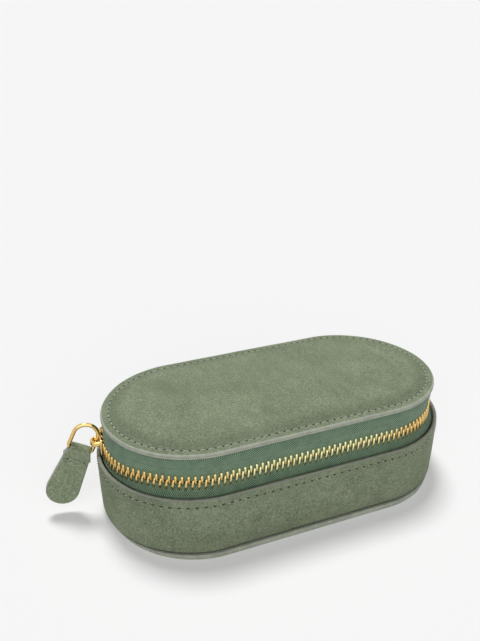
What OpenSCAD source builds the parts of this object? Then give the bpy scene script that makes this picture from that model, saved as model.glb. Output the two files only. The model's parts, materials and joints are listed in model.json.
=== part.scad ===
// Travel jewelry case: an oval zipped box covered in suede, with a hinged lid and a ring pull.
// Origin: middle of the sole, on the surface it stands on. X runs along the long sides, the
// zip's front is at -Y, the leather hinge is at +Y, and Z is up. All sizes are in millimetres.

/* [Oval] */
// Half length of the straight sides, between the centres of the two round ends
half_straight = 30.7; // [27:0.1:50]
// Outer radius of the zip tape at the round ends
tape_r = 28.9; // [25:0.1:40]

/* [Base] */
// Thickness of the sole
sole_t = 2.2; // [1.2:0.1:4]
// How far the sole stands out past the foot of the wall
sole_lip = 0.2; // [0:0.1:2]
// Height of the dark groove between the sole and the wall leather
sole_groove = 0.4; // [0.2:0.1:1.5]
// Height of the wall leather
wall_h = 21.3; // [18:0.1:40]
// How much wider the wall is at its rim than at its foot, on the radius
wall_flare = 0.7; // [0:0.1:1.2]
// Thickness of the wall leather
wall_leather_t = 1.6; // [0.6:0.1:2.4]
// Gap between the zip tape and the inner edge of the rim
rim_gap = 2.2; // [1.9:0.1:6]
// Drop from the rim to the top of the wall board
board_drop = 1.2; // [0.5:0.1:4]
// Thickness of the bottom board
bottom_board_t = 1.8; // [1:0.1:3]
// How far the bottom board stays inside the foot of the wall leather
bottom_board_inset = 0.2; // [0.1:0.1:1]

/* [Linings] */
// Thickness of the wall lining and of the lid's side lining
lining_t = 0.8; // [0.4:0.1:1.5]
// Thickness of the padded floor lining
floor_lining_t = 0.8; // [0.5:0.1:2]
// Clearance between layers that are glued or sewn together
layer_gap = 0.1; // [0.05:0.01:0.2]

/* [Inside] */
// Height of the two dividers above the floor lining
divider_h = 15; // [8:0.5:18]
// Thickness of a divider
divider_t = 2.4; // [1.5:0.1:4]
// Distance from the middle of the case to the middle of a divider
divider_x = 19; // [15:0.5:24]
// Height of the ring rolls above the floor lining
roll_h = 11; // [8:0.5:15]
// Clearance between the rolls, and between them and the dividers and lining
roll_gap = 0.1; // [0.05:0.05:0.5]

/* [Lid] */
// How far the lid's edge stands out past the zip tape
lid_overhang = 1.1; // [0.5:0.1:3]
// Thickness of the lid's top leather at its stitched margin
lid_leather_t = 1; // [0.6:0.1:2]
// Thickness of the core leather under it
lid_core_t = 0.7; // [0.4:0.1:2]
// Width of the stitched margin around the padded middle
lid_margin = 3.4; // [2:0.1:8]
// Width of the slope between the margin and the padded middle
crown_slope = 2; // [0.5:0.1:6]
// Height that the padding lifts the middle of the lid
crown_h = 0.6; // [0.2:0.1:2]
// Thickness of the lid board
lid_board_t = 1.8; // [1:0.1:3]
// Thickness of the lid lining
lid_lining_t = 0.8; // [0.4:0.1:1.5]

/* [Zip] */
// Height of the zip's centre line above the rim
rim_to_zip = 4.15; // [4:0.05:8]
// Height of the lid's underside above the zip's centre line
zip_to_lid = 8.95; // [7.5:0.05:14]
// Thickness of the tape
tape_t = 0.6; // [0.4:0.1:0.9]
// Width of the lower tape, most of it hidden inside the wall
lower_tape_w = 13; // [8:0.5:16]
// Width of the strip of the upper tape that is turned in under the lid
tape_turn_in = 2; // [1:0.5:8]
// Gap between the two tape edges on each side of the centre line
tape_edge = 1; // [0.8:0.05:1.4]
// Distance between teeth on one tape
tooth_pitch = 2; // [1.8:0.05:3]
// Width of a tooth along the tape
tooth_w = 0.84; // [0.6:0.02:0.88]
// Reach of a tooth past the centre line
tooth_reach = 0.9; // [0.5:0.05:1.1]
// Reach of a tooth's two legs over the tape, measured from the tape's edge
tooth_leg = 1.4; // [0.8:0.1:2]
// Thickness of a tooth across the tape
tooth_depth = 2; // [1.6:0.1:2.4]
// How far each row of teeth stands back where the zip is open, behind the slider
open_gap = 1.8; // [1.7:0.05:2.2]
// Width of a zip end stop along the tape
stop_w = 2.2; // [1.2:0.1:3]

/* [Hinge] */
// Width of the leather hinge at the back
hinge_w = 48; // [30:1:50]
// Clearance between the leather hinge and the ends of the tapes
hinge_gap = 0.3; // [0.1:0.1:1]
// How far the leather hinge reaches down inside the wall, below the rim
hinge_tail = 8; // [4:0.5:12]

/* [Slider] */
// Where the slider stands on the left end, as an angle from +X
slider_angle = 167; // [150:1:200]
// Length of the slider along the zip
slider_len = 9.4; // [8:0.1:12]
// Thickness of each of the slider's two plates
plate_t = 1; // [0.7:0.1:1.4]
// Clearance between the teeth and the slider's plates
slider_gap = 0.1; // [0.05:0.01:0.15]
// Half height of the slider's plates at the rear, where closed teeth come out
slider_rear = 3.2; // [3.1:0.05:3.6]
// Half height of the slider's outer plate at the nose, where open teeth come in
slider_nose = 4.2; // [3.4:0.05:5]
// Thickness of the slider's post, between the two open rows
post_t = 1.5; // [1:0.1:1.6]
// Height of the lip on the lower edge of each plate
lip_h = 0.65; // [0.4:0.05:0.7]
// Depth of that lip, towards the tape
lip_depth = 0.5; // [0.3:0.05:0.6]

/* [Pull] */
// Width of the bail across the slider
bail_w = 1.8; // [1.2:0.1:2.4]
// Thickness of the bail's wire
bail_t = 1; // [0.7:0.1:1.4]
// Height of the eye under the bail
eye_h = 2.9; // [2.6:0.1:4]
// Width of the eye along the zip
eye_w = 2.6; // [2.2:0.1:4]
// Distance from the slider's plate to the wire of the ring in the eye
wire_rise = 1.7; // [1.3:0.1:2]
// Diameter of the ring's wire
wire_d = 1.4; // [1:0.1:1.6]
// Width of the ring between the middles of its two straight sides
ring_w = 7.8; // [7:0.1:12]
// Distance from the eye down to the ring's bottom bar
ring_drop = 5; // [4:0.1:8]
// Distance from the eye up to where the ring's round top begins
ring_rise = 0.8; // [0.4:0.1:3]
// Radius of the two bottom corners of the ring, at the middle of the wire
ring_corner = 1.2; // [0.8:0.1:1.6]
// Lean of the ring and tab away from the case, in degrees
ring_lean = 25; // [10:1:40]
// Width of the leather loop on the ring's bottom bar
loop_w = 5.8; // [4:0.1:6]
// Running clearance between the ring's bar and the leather loop
loop_clear = 0.1; // [0.05:0.01:0.1]
// Thickness of one layer of the tab's leather
tab_leather_t = 1.2; // [0.8:0.1:1.6]
// Length of the tab, from the ring's bar to its round end
tab_len = 22.4; // [14:0.2:30]
// Radius of the tab's round end
tab_r = 5.7; // [4:0.1:8]
// Half width of the tab at its shoulders
shoulder_half = 5; // [3.5:0.1:6]
// Distance from the ring's bar down to the shoulders
shoulder_drop = 2.8; // [2.4:0.1:5]

/* [Hidden] */
$fn = 96;

// Heights above the surface that the case stands on
wall_z = sole_t + sole_groove;
rim_z = wall_z + wall_h;
zip_z = rim_z + rim_to_zip;
lid_z = zip_z + zip_to_lid;
lid_leather_z = lid_z + lid_core_t;
lid_top_z = lid_leather_z + lid_leather_t;
board_z = sole_t + bottom_board_t;
floor_z = board_z + floor_lining_t;
board_top_z = rim_z - board_drop;
lid_board_top_z = lid_z - tape_t - layer_gap;
lid_board_z = lid_board_top_z - lid_board_t;
lid_lining_z = lid_board_z - lid_lining_t;

// Radii at the round ends
tape_in_r = tape_r - tape_t;
tape_mid_r = tape_r - tape_t / 2;
rim_in_r = tape_r + rim_gap;
rim_r = rim_in_r + wall_leather_t;
foot_r = rim_r - wall_flare;
sole_r = foot_r + sole_lip;
board_in_r = tape_r + layer_gap;
lining_r = tape_in_r - layer_gap;
inside_r = lining_r - lining_t;
lid_r = tape_r + lid_overhang;
crown_r = lid_r - lid_margin;

// Ring rolls: four between the dividers, side by side, and as long as the dividers
roll_count = 4;
roll_span = 2 * divider_x - divider_t;
roll_w = (roll_span - (roll_count + 1) * roll_gap) / roll_count;
inside_len = 2 * (inside_r - roll_gap);

// Zip: the path of the teeth runs from the hinge's left end, round the front, to its right end
tape_end_x = hinge_w / 2 + hinge_gap;
path_side = half_straight - tape_end_x;
path_arc = PI * tape_mid_r;
path_len = 2 * path_side + 2 * path_arc + 2 * half_straight;
slider_s = path_side + (slider_angle - 90) / 180 * path_arc;

// Zip stops: distance from the end of the tape, clearance between a pair, and reach of the legs
stop_end = 0.4;
stop_gap = 0.1;
stop_leg = 2;
stop_inset = stop_end + stop_w / 2;

// Teeth: clearance in the slot that grips the tape, and how many fit between the stops
tooth_slot = 0.02;
tooth_start = stop_inset + stop_w / 2 + tooth_w;
tooth_count = floor((path_len - 2 * tooth_start) / tooth_pitch);

// Linings stay clear of the stops and teeth where the two rows stand apart
stop_span = tape_edge + open_gap + stop_leg + layer_gap;

// Slider: radii of its two plates, and of the ring's wire in the eye
teeth_out_r = tape_mid_r + tooth_depth / 2;
teeth_in_r = tape_mid_r - tooth_depth / 2;
plate_out_r = teeth_out_r + slider_gap;
plate_in_r = teeth_in_r - slider_gap;
face_r = plate_out_r + plate_t;
eye_r = face_r + wire_rise;

// Slider: its cut corners, the length of its post and that post's distance from the nose, and
// the distances of the lips from the middle and from the rear
slider_chamfer = 1;
post_len = 3;
post_inset = 0.4;
lip_start = 0.4;
lip_inset = 1.2;

// A length past every edge of the case, for solids that only cut
far = 2 * (half_straight + tape_r);

/* Shapes that follow the oval */

// The oval's outline at the round ends' radius r
module oval(r) {
  for (side = [-1, 1])
    translate([side * half_straight, 0]) circle(r);
  translate([-half_straight, -r]) square([2 * half_straight, 2 * r]);
}

// A flat plate of the oval's outline, from height z0 to z1
module plate(r, z0, z1) {
  translate([0, 0, z0]) linear_extrude(z1 - z0) oval(r);
}

// An upright band of the oval's outline, between radii r_in and r_out
module band(r_in, r_out, z0, z1) {
  translate([0, 0, z0]) linear_extrude(z1 - z0) difference() {
    oval(r_out);
    oval(r_in);
  }
}

// Sweeps a profile, drawn as radius and height, round the whole oval
module swept() {
  for (side = [-1, 1])
    translate([side * half_straight, 0, 0]) rotate([0, 0, -90 * side])
      rotate_extrude(angle = 180) children();
  for (side = [-1, 1])
    rotate([0, 0, 90 + 90 * side]) translate([-half_straight, 0, 0])
      rotate([90, 0, 90]) linear_extrude(2 * half_straight) children();
}

// A plate whose radius runs from r0 at height z0 to r1 at height z1
module sloped_plate(r0, r1, z0, z1) {
  swept() polygon([[0, z0], [r0, z0], [r1, z1], [0, z1]]);
}

// What lies within the leather hinge's width, at the back
module hinge_window(margin) {
  translate([-hinge_w / 2 - margin, 0, 0]) cube([hinge_w + 2 * margin, far, far]);
}

// What lies within the zip stops' width, on both sides of the hinge
module stop_window(z0, z1) {
  reach = tape_end_x + tooth_start - tooth_w / 2 - tooth_slot;
  translate([-reach, 0, z0]) cube([2 * reach, far, z1 - z0]);
}

// What lies along the zip's open stretch, from the hinge's left end to the slider
module open_stretch(z0, z1) {
  translate([0, 0, z0]) linear_extrude(z1 - z0)
    polygon([
      [-half_straight, 0],
      [-half_straight + far * cos(slider_angle), far * sin(slider_angle)],
      [-half_straight - far, far],
      [0, far],
      [0, tape_in_r / 2]
    ]);
}

/* Places */

// Outward direction of the zip's path after a length s, as an angle from +X
function path_angle(s) =
  s < path_side ? 90
  : s < path_side + path_arc ? 90 + (s - path_side) / path_arc * 180
  : s < path_side + path_arc + 2 * half_straight ? 270
  : s < path_side + 2 * path_arc + 2 * half_straight
    ? 270 + (s - path_side - path_arc - 2 * half_straight) / path_arc * 180
  : 450;

// Point on the oval's spine that the path turns about after a length s
function path_x(s) =
  s < path_side ? -tape_end_x - s
  : s < path_side + path_arc ? -half_straight
  : s < path_side + path_arc + 2 * half_straight ? s - path_side - path_arc - half_straight
  : s < path_side + 2 * path_arc + 2 * half_straight ? half_straight
  : path_len - s + tape_end_x;

// Puts children on the zip's centre line after a length s, with X outward and Y along the zip
module on_path(s) {
  translate([path_x(s), 0, zip_z]) rotate([0, 0, path_angle(s)]) children();
}

// Puts children at the slider, with X outward and Y along the zip
module at_slider() {
  translate([-half_straight, 0, zip_z]) rotate([0, 0, slider_angle]) children();
}

// Puts children at the ring's wire in the eye, with X along its bottom bar and Z up its sides
module at_ring() {
  at_slider() translate([eye_r, 0, 0]) rotate([0, -ring_lean, 0]) children();
}

/* Base */

module sole() {
  color([0.50, 0.52, 0.46]) plate(sole_r, 0, sole_t);
}

module bottom_board() {
  color([0.30, 0.33, 0.28])
    plate(foot_r - wall_leather_t - bottom_board_inset, sole_t, board_z);
}

// Outer suede, from the groove over the sole up to the rounded, painted rim
module wall_leather() {
  round_r = wall_leather_t / 2;
  color([0.45, 0.51, 0.40]) swept() {
    polygon([
      [foot_r - wall_leather_t, wall_z],
      [foot_r, wall_z],
      [rim_r, rim_z - round_r],
      [rim_in_r, rim_z - round_r]
    ]);
    translate([rim_r - round_r, rim_z - round_r]) circle(round_r);
  }
}

// Stiff former between the wall leather and the tape
module wall_board() {
  slope = wall_flare / wall_h;
  low_r = foot_r - wall_leather_t - layer_gap + (board_z - wall_z) * slope;
  high_r = foot_r - wall_leather_t - layer_gap + (board_top_z - wall_z) * slope;
  color([0.62, 0.55, 0.44]) swept() polygon([
    [board_in_r, board_z],
    [low_r, board_z],
    [high_r, board_top_z],
    [board_in_r, board_top_z]
  ]);
}

module wall_lining() {
  color([0.56, 0.60, 0.50]) band(inside_r, lining_r, board_z, zip_z - stop_span);
}

module floor_lining() {
  color([0.58, 0.62, 0.52]) plate(inside_r - layer_gap, board_z, floor_z);
}

// One divider, wrapped in suede, with a rounded top edge
module divider(side) {
  color([0.54, 0.58, 0.48])
    translate([side * divider_x, inside_len / 2, floor_z]) rotate([90, 0, 0])
      linear_extrude(inside_len) {
        translate([-divider_t / 2, 0]) square([divider_t, divider_h - divider_t / 2]);
        translate([0, divider_h - divider_t / 2]) circle(divider_t / 2);
      }
}

// One ring roll: a foam strip with a round top, wrapped in suede
module ring_roll(i) {
  x = -roll_span / 2 + roll_gap + roll_w / 2 + i * (roll_w + roll_gap);
  color([0.60, 0.64, 0.54])
    translate([x, inside_len / 2, floor_z]) rotate([90, 0, 0]) linear_extrude(inside_len) {
      translate([-roll_w / 2, 0]) square([roll_w, roll_h - roll_w / 2]);
      translate([0, roll_h - roll_w / 2]) circle(roll_w / 2);
    }
}

/* Zip */

module lower_zip_tape() {
  top_z = zip_z - tape_edge;
  color([0.30, 0.44, 0.36]) difference() {
    band(tape_in_r, tape_r, top_z - lower_tape_w, top_z);
    hinge_window(hinge_gap);
    open_stretch(top_z - open_gap, top_z + open_gap);
    stop_window(top_z - open_gap, top_z + open_gap);
  }
}

// Upper tape, with its top edge turned in under the lid's core leather
module upper_zip_tape() {
  bottom_z = zip_z + tape_edge;
  color([0.32, 0.46, 0.38]) difference() {
    union() {
      band(tape_in_r, tape_r, bottom_z, lid_z);
      band(tape_in_r - tape_turn_in, tape_in_r, lid_z - tape_t, lid_z);
    }
    hinge_window(hinge_gap);
    open_stretch(bottom_z - open_gap, bottom_z + open_gap);
    stop_window(bottom_z - open_gap, bottom_z + open_gap);
  }
}

// One tooth or stop: a head past the tape's edge and two legs that hold the tape between them.
// side is 1 on the upper tape and -1 on the lower one.
module tooth(side, width, reach, leg) {
  slot = tape_t / 2 + tooth_slot;
  mirror([0, 0, side > 0 ? 0 : 1]) translate([tape_mid_r, 0, 0]) difference() {
    translate([-tooth_depth / 2, -width / 2, -reach])
      cube([tooth_depth, width, reach + tape_edge + leg]);
    translate([-slot, -width, tape_edge - tooth_slot]) cube([2 * slot, 2 * width, 2 * leg]);
  }
}

// A row of teeth along one tape. The two rows are half a pitch apart, and behind the slider
// they stand back from each other, because the zip is open there.
module teeth(side) {
  shift = side > 0 ? 0 : tooth_pitch / 2;
  for (i = [0 : tooth_count - 1]) {
    s = tooth_start + shift + i * tooth_pitch;
    lift = s + tooth_w / 2 < slider_s ? side * open_gap : 0;
    on_path(s) translate([0, 0, lift]) tooth(side, tooth_w, tooth_reach, tooth_leg);
  }
}

// The stops at the two ends of one tape. They stand back from the zip's centre line, because
// the lid turns about that line.
module end_stops(side) {
  for (s = [stop_inset, path_len - stop_inset])
    on_path(s) translate([0, 0, side * open_gap]) tooth(side, stop_w, -stop_gap / 2, stop_leg);
}

module lower_zip_teeth() {
  color([0.83, 0.68, 0.36]) teeth(-1);
}

module upper_zip_teeth() {
  color([0.86, 0.72, 0.42]) teeth(1);
}

module lower_end_stops() {
  color([0.80, 0.64, 0.32]) end_stops(-1);
}

module upper_end_stops() {
  color([0.80, 0.64, 0.32]) end_stops(1);
}

// Leather that joins the lid to the base at the back, in line with the two tapes
module leather_hinge() {
  color([0.47, 0.53, 0.42]) intersection() {
    band(tape_in_r, tape_r, rim_z - hinge_tail, lid_z - layer_gap);
    hinge_window(0);
  }
}

/* Lid */

// Suede panel with a flat stitched margin and a middle that the padding lifts
module lid_top_leather() {
  color([0.52, 0.58, 0.47]) difference() {
    union() {
      plate(lid_r, lid_leather_z, lid_top_z);
      sloped_plate(crown_r, crown_r - crown_slope, lid_top_z, lid_top_z + crown_h);
    }
    sloped_plate(
      crown_r - lid_leather_t / 2, crown_r - crown_slope - lid_leather_t / 2,
      lid_leather_z, lid_leather_z + crown_h
    );
  }
}

module lid_padding() {
  color([0.80, 0.80, 0.74])
    sloped_plate(
      crown_r - lid_leather_t / 2 - layer_gap,
      crown_r - crown_slope - lid_leather_t / 2 - layer_gap,
      lid_leather_z, lid_leather_z + crown_h - layer_gap / 2
    );
}

module lid_core_leather() {
  color([0.58, 0.60, 0.54]) plate(lid_r, lid_z, lid_leather_z);
}

// Board under the core leather, stepped to clear the edge of the tape that is turned in
module lid_board() {
  color([0.62, 0.55, 0.44]) {
    plate(tape_in_r - layer_gap, lid_board_z, lid_board_top_z);
    plate(tape_in_r - tape_turn_in - layer_gap, lid_board_top_z, lid_z);
  }
}

module lid_lining() {
  color([0.58, 0.62, 0.52]) plate(inside_r - layer_gap, lid_lining_z, lid_board_z);
}

// Covers the inside of the upper tape, above the slider's way
module lid_side_lining() {
  color([0.56, 0.60, 0.50]) band(inside_r, lining_r, zip_z + stop_span, lid_board_z);
}

/* Slider and pull */

// Outline of a plate seen from outside: Y along the zip, with the nose at -Y
module slider_outline(nose_half) {
  half = slider_len / 2;
  polygon([
    [half, slider_rear - slider_chamfer],
    [half - slider_chamfer, slider_rear],
    [0, slider_rear],
    [slider_chamfer - half, nose_half],
    [-half, nose_half - slider_chamfer],
    [-half, slider_chamfer - nose_half],
    [slider_chamfer - half, -nose_half],
    [0, -slider_rear],
    [half - slider_chamfer, -slider_rear],
    [half, slider_chamfer - slider_rear]
  ]);
}

// A plate that follows the round end, between radii r_in and r_out
module slider_plate(r_in, r_out, nose_half) {
  intersection() {
    linear_extrude(4 * slider_nose, center = true) difference() {
      circle(r_out);
      circle(r_in);
    }
    translate([r_in / 2, 0, 0]) rotate([90, 0, 90])
      linear_extrude(r_out) slider_outline(nose_half);
  }
}

// Lip on the lower edge of a plate, on its rear half only, so that open teeth can enter
module slider_lip(r_in, r_out) {
  intersection() {
    translate([0, 0, -slider_rear]) linear_extrude(lip_h) difference() {
      circle(r_out);
      circle(r_in);
    }
    translate([r_in / 2, lip_start, -slider_nose])
      cube([r_out, slider_len / 2 - lip_start - lip_inset, slider_nose]);
  }
}

// Two plates joined by a post at the nose. The upper edge is open, so the lid can lift away.
module slider_body() {
  color([0.84, 0.66, 0.30]) at_slider() {
    slider_plate(plate_out_r, face_r, slider_nose);
    slider_plate(plate_in_r - plate_t, plate_in_r, slider_rear);
    slider_lip(plate_out_r - lip_depth, plate_out_r + plate_t / 2);
    slider_lip(plate_in_r - plate_t / 2, plate_in_r + lip_depth);
    translate([plate_in_r - plate_t / 2, post_inset - slider_len / 2, -post_t / 2])
      cube([face_r - plate_in_r, post_len, post_t]);
  }
}

// Arch that stands on the slider's outer plate and holds the ring
module slider_bail() {
  outer_half = eye_w / 2 + bail_t;
  color([0.86, 0.70, 0.34]) at_slider() difference() {
    translate([0, 0, -bail_w / 2]) linear_extrude(bail_w) difference() {
      union() {
        translate([face_r + eye_h - eye_w / 2, 0]) circle(outer_half);
        translate([face_r - plate_t / 2, -outer_half])
          square([eye_h - eye_w / 2 + plate_t / 2, 2 * outer_half]);
      }
      translate([face_r + eye_h - eye_w / 2, 0]) circle(eye_w / 2);
      translate([face_r - plate_t, -eye_w / 2])
        square([eye_h - eye_w / 2 + plate_t, eye_w]);
    }
    translate([0, 0, -bail_w]) cylinder(r = face_r, h = 2 * bail_w);
  }
}

// A straight length of the ring's wire, from a point up along Z
module wire(x, z, length) {
  translate([x, 0, z]) cylinder(d = wire_d, h = length);
}

// Part of a turn of the ring's wire, in the ring's plane, about a point
module wire_bend(x, z, radius, start, angle) {
  translate([x, 0, z]) rotate([90, 0, 0]) rotate([0, 0, start])
    rotate_extrude(angle = angle) translate([radius, 0]) circle(d = wire_d);
}

// D-shaped ring: one side passes through the eye, and the bottom bar carries the tab
module pull_ring() {
  side_z = ring_corner - ring_drop;
  color([0.88, 0.72, 0.36]) at_ring() {
    for (x = [0, ring_w])
      wire(x, side_z, ring_rise - side_z);
    wire_bend(ring_w / 2, ring_rise, ring_w / 2, 0, 180);
    wire_bend(ring_corner, side_z, ring_corner, 180, 90);
    wire_bend(ring_w - ring_corner, side_z, ring_corner, 270, 90);
    translate([ring_corner, 0, -ring_drop]) rotate([0, 90, 0])
      cylinder(d = wire_d, h = ring_w - 2 * ring_corner);
  }
}

// Where a line from the point (x, y) touches the tab's round end, centred on (0, 0)
function touch(x, y) =
  let (turn = atan2(y, x) - acos(tab_r / norm([x, y])))
  [tab_r * cos(turn), tab_r * sin(turn)];

// Folded strip of leather: a loop on the ring's bar, shoulders below it, and a round end
module pull_tab() {
  bore_r = wire_d / 2 + loop_clear;
  loop_r = bore_r + tab_leather_t;
  end_z = tab_r - tab_len;
  shoulder_z = -shoulder_drop - end_z;
  neck_z = -bore_r - tab_leather_t / 2 - end_z;
  meet = touch(shoulder_half, shoulder_z);
  color([0.44, 0.49, 0.39]) at_ring() translate([ring_w / 2, 0, -ring_drop]) difference() {
    union() {
      translate([-loop_w / 2, 0, 0]) rotate([0, 90, 0]) cylinder(r = loop_r, h = loop_w);
      translate([0, tab_leather_t, end_z]) rotate([90, 0, 0])
        linear_extrude(2 * tab_leather_t) {
          circle(tab_r);
          polygon([
            [-loop_w / 2, -end_z],
            [-loop_w / 2, neck_z],
            [-shoulder_half, shoulder_z],
            [-meet[0], meet[1]],
            [meet[0], meet[1]],
            [shoulder_half, shoulder_z],
            [loop_w / 2, neck_z],
            [loop_w / 2, -end_z]
          ]);
        }
    }
    translate([-loop_w, 0, 0]) rotate([0, 90, 0]) cylinder(r = bore_r, h = 2 * loop_w);
  }
}

sole();
bottom_board();
wall_leather();
wall_board();
wall_lining();
floor_lining();
divider(-1);  // left_divider
divider(1);  // right_divider
ring_roll(0);  // ring_roll_1
ring_roll(1);  // ring_roll_2
ring_roll(2);  // ring_roll_3
ring_roll(3);  // ring_roll_4
lower_zip_tape();
lower_zip_teeth();
lower_end_stops();
leather_hinge();
lid_top_leather();
lid_padding();
lid_core_leather();
lid_board();
lid_lining();
lid_side_lining();
upper_zip_tape();
upper_zip_teeth();
upper_end_stops();
slider_body();
slider_bail();
pull_ring();
pull_tab();
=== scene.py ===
"""Travel jewelry case: the finished look of the oval zipped case, built round its CAD frame."""

import json
from functools import wraps
from math import acos, atan2, copysign, cos, degrees, hypot, pi, radians, sin, tan

import bpy
from bpy.props import FloatProperty, FloatVectorProperty, IntProperty, PointerProperty
from bpy.types import Operator, Panel, PropertyGroup
from mathutils import Matrix, Vector, noise

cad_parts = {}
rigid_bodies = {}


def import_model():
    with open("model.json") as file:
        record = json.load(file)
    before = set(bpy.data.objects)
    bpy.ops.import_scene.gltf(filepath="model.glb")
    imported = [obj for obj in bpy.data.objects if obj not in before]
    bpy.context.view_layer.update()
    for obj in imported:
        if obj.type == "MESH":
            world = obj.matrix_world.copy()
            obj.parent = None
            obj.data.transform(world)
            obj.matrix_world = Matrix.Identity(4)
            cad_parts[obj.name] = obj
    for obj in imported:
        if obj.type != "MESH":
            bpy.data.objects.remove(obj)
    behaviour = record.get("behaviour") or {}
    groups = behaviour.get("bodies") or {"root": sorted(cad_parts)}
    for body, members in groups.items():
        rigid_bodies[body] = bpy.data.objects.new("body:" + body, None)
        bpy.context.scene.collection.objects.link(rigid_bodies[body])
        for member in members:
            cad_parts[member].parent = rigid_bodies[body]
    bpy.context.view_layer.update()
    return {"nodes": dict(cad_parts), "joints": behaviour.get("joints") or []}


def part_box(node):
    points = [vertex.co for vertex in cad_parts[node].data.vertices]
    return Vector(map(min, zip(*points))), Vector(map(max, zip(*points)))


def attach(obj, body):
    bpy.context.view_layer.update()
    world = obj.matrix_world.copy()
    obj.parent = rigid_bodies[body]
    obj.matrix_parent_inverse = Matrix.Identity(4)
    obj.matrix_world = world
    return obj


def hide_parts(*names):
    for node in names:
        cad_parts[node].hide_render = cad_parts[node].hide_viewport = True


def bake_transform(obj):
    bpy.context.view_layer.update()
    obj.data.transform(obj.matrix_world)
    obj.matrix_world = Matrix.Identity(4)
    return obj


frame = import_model()

bl_info = {
    "name": "Travel Jewelry Case",
    "version": (1, 0, 0),
    "blender": (4, 5, 0),
    "location": "3D View > Sidebar > Jewelry Case",
    "description": "Builds a suede travel jewelry case with a metal zip, a ring pull and a padded inside",
    "category": "Add Mesh",
}

MM = 0.001


# ---------------------------------------------------------------- places that the frame gives

def low(node):
    """Lowest corner of a CAD node."""
    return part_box(node)[0]


def high(node):
    """Highest corner of a CAD node."""
    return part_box(node)[1]


def joint(name):
    """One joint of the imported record."""
    return next(j for j in frame["joints"] if j["name"] == name)


LID_R = high("lid_core_leather").y
HALF = high("lid_core_leather").x - LID_R
LID_UNDER = low("lid_core_leather").z
LID_SEAM = high("lid_core_leather").z
LID_TOP = high("lid_top_leather").z
LID_BOARD_Z = low("lid_board").z

SOLE_R = high("sole").y
SOLE_TOP = high("sole").z
WALL_FOOT = low("wall_leather").z
RIM_Z = high("wall_leather").z
RIM_R = high("wall_leather").y
BOARD_Z = high("bottom_board").z
LINING_TOP = high("wall_lining").z
LINING_R = high("wall_lining").y

ZIP_Z = joint("lid_hinge")["pos_m"][2]
TAPE_MID_R = joint("lid_hinge")["pos_m"][1]
TAPE_R = high("lower_zip_tape").y
TAPE_T = 2 * (TAPE_R - TAPE_MID_R)
HINGE_HALF = high("leather_hinge").x

SLIDER_PIVOT = Vector(joint("slider_travel")["pos_m"])
EYE = Vector(joint("ring_swing")["pos_m"])
BAR = Vector(joint("tab_swing")["pos_m"])
SLIDER_ANGLE = atan2(EYE.y - SLIDER_PIVOT.y, EYE.x - SLIDER_PIVOT.x)
RING_UP = Vector(joint("ring_swing")["axis"]).normalized()
RING_ALONG = Vector(joint("tab_swing")["axis"]).normalized()

# Distances from the middle of the case between which the teeth turn a deeper gold, a painted darker
# reflection
REFLECTION_SHADE_START_X, REFLECTION_SHADE_FULL_X = HALF - 12 * MM, HALF + 14 * MM

# Sizes that the boxes of the CAD nodes don't show
WALL_T = 1.6 * MM
WALL_FLARE = 0.7 * MM
RIM_T = 1.25 * MM
LINING_T = 0.8 * MM
LINING_GAP = 0.1 * MM
TAPE_EDGE = 1.0 * MM
TAPE_GAP = 0.3 * MM
TAPE_END = HINGE_HALF + 0.3 * MM
OPEN_GAP = 1.8 * MM
TOOTH_PITCH = 2.0 * MM
TOOTH_W = 0.74 * MM
TOOTH_DEPTH = 2.0 * MM
TOOTH_REACH = 0.9 * MM
STOP_W = 2.2 * MM
STOP_END = 0.4 * MM

# How finely the oval is stepped: on each round end, and on each straight side
ARC_STEPS = 56
SIDE_STEPS = 24
JOIN = 0.004 * MM


# ---------------------------------------------------------------- settings

def colour(name, description, default):
    """A colour setting, as a value between 0 and 1 for each of red, green and blue."""
    return FloatVectorProperty(
        name=name, description=description, subtype="COLOR_GAMMA", size=3, min=0, max=1, default=default
    )


def number(name, description, default, **limits):
    """A setting that is a number from 0 upwards."""
    return FloatProperty(name=name, description=description, min=0, default=default, **limits)


def length(name, description, default):
    """A length setting, given in millimetres."""
    return number(name, description, default * MM, subtype="DISTANCE", unit="LENGTH")


class CaseColours(PropertyGroup):
    """Colours of the case's materials."""

    suede: colour("Suede", "Main colour of the suede", (0.505, 0.545, 0.445))
    suede_light: colour("Brushed suede", "Colour where the nap is brushed up", (0.59, 0.63, 0.53))
    suede_dark: colour("Shaded suede", "Colour where the nap lies down", (0.41, 0.45, 0.36))
    edge: colour("Edge paint", "Paint on the cut edges of the leather", (0.655, 0.675, 0.615))
    edge_dark: colour("Edge line", "Line between two layers in a painted edge", (0.36, 0.38, 0.34))
    tape: colour("Zip tape", "Main colour of the woven tape", (0.445, 0.555, 0.45))
    tape_light: colour("Zip tape, raised threads", "Colour on top of the threads", (0.59, 0.70, 0.59))
    tape_dark: colour("Zip tape, between threads", "Colour between the threads", (0.235, 0.325, 0.25))
    thread: colour("Sewing thread", "Colour of the stitches", (0.70, 0.725, 0.65))
    gold: colour("Gold", "Colour of the ring and the slider", (0.885, 0.76, 0.49))
    teeth: colour("Zip gold", "Colour of the teeth", (0.91, 0.88, 0.68))
    lining: colour("Lining", "Colour of the suedette inside", (0.585, 0.625, 0.53))
    board: colour("Board", "Colour of the stiff boards between the layers", (0.25, 0.285, 0.25))
    floor: colour("Floor", "Colour of the floor and the background", (0.978, 0.978, 0.978))


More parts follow.
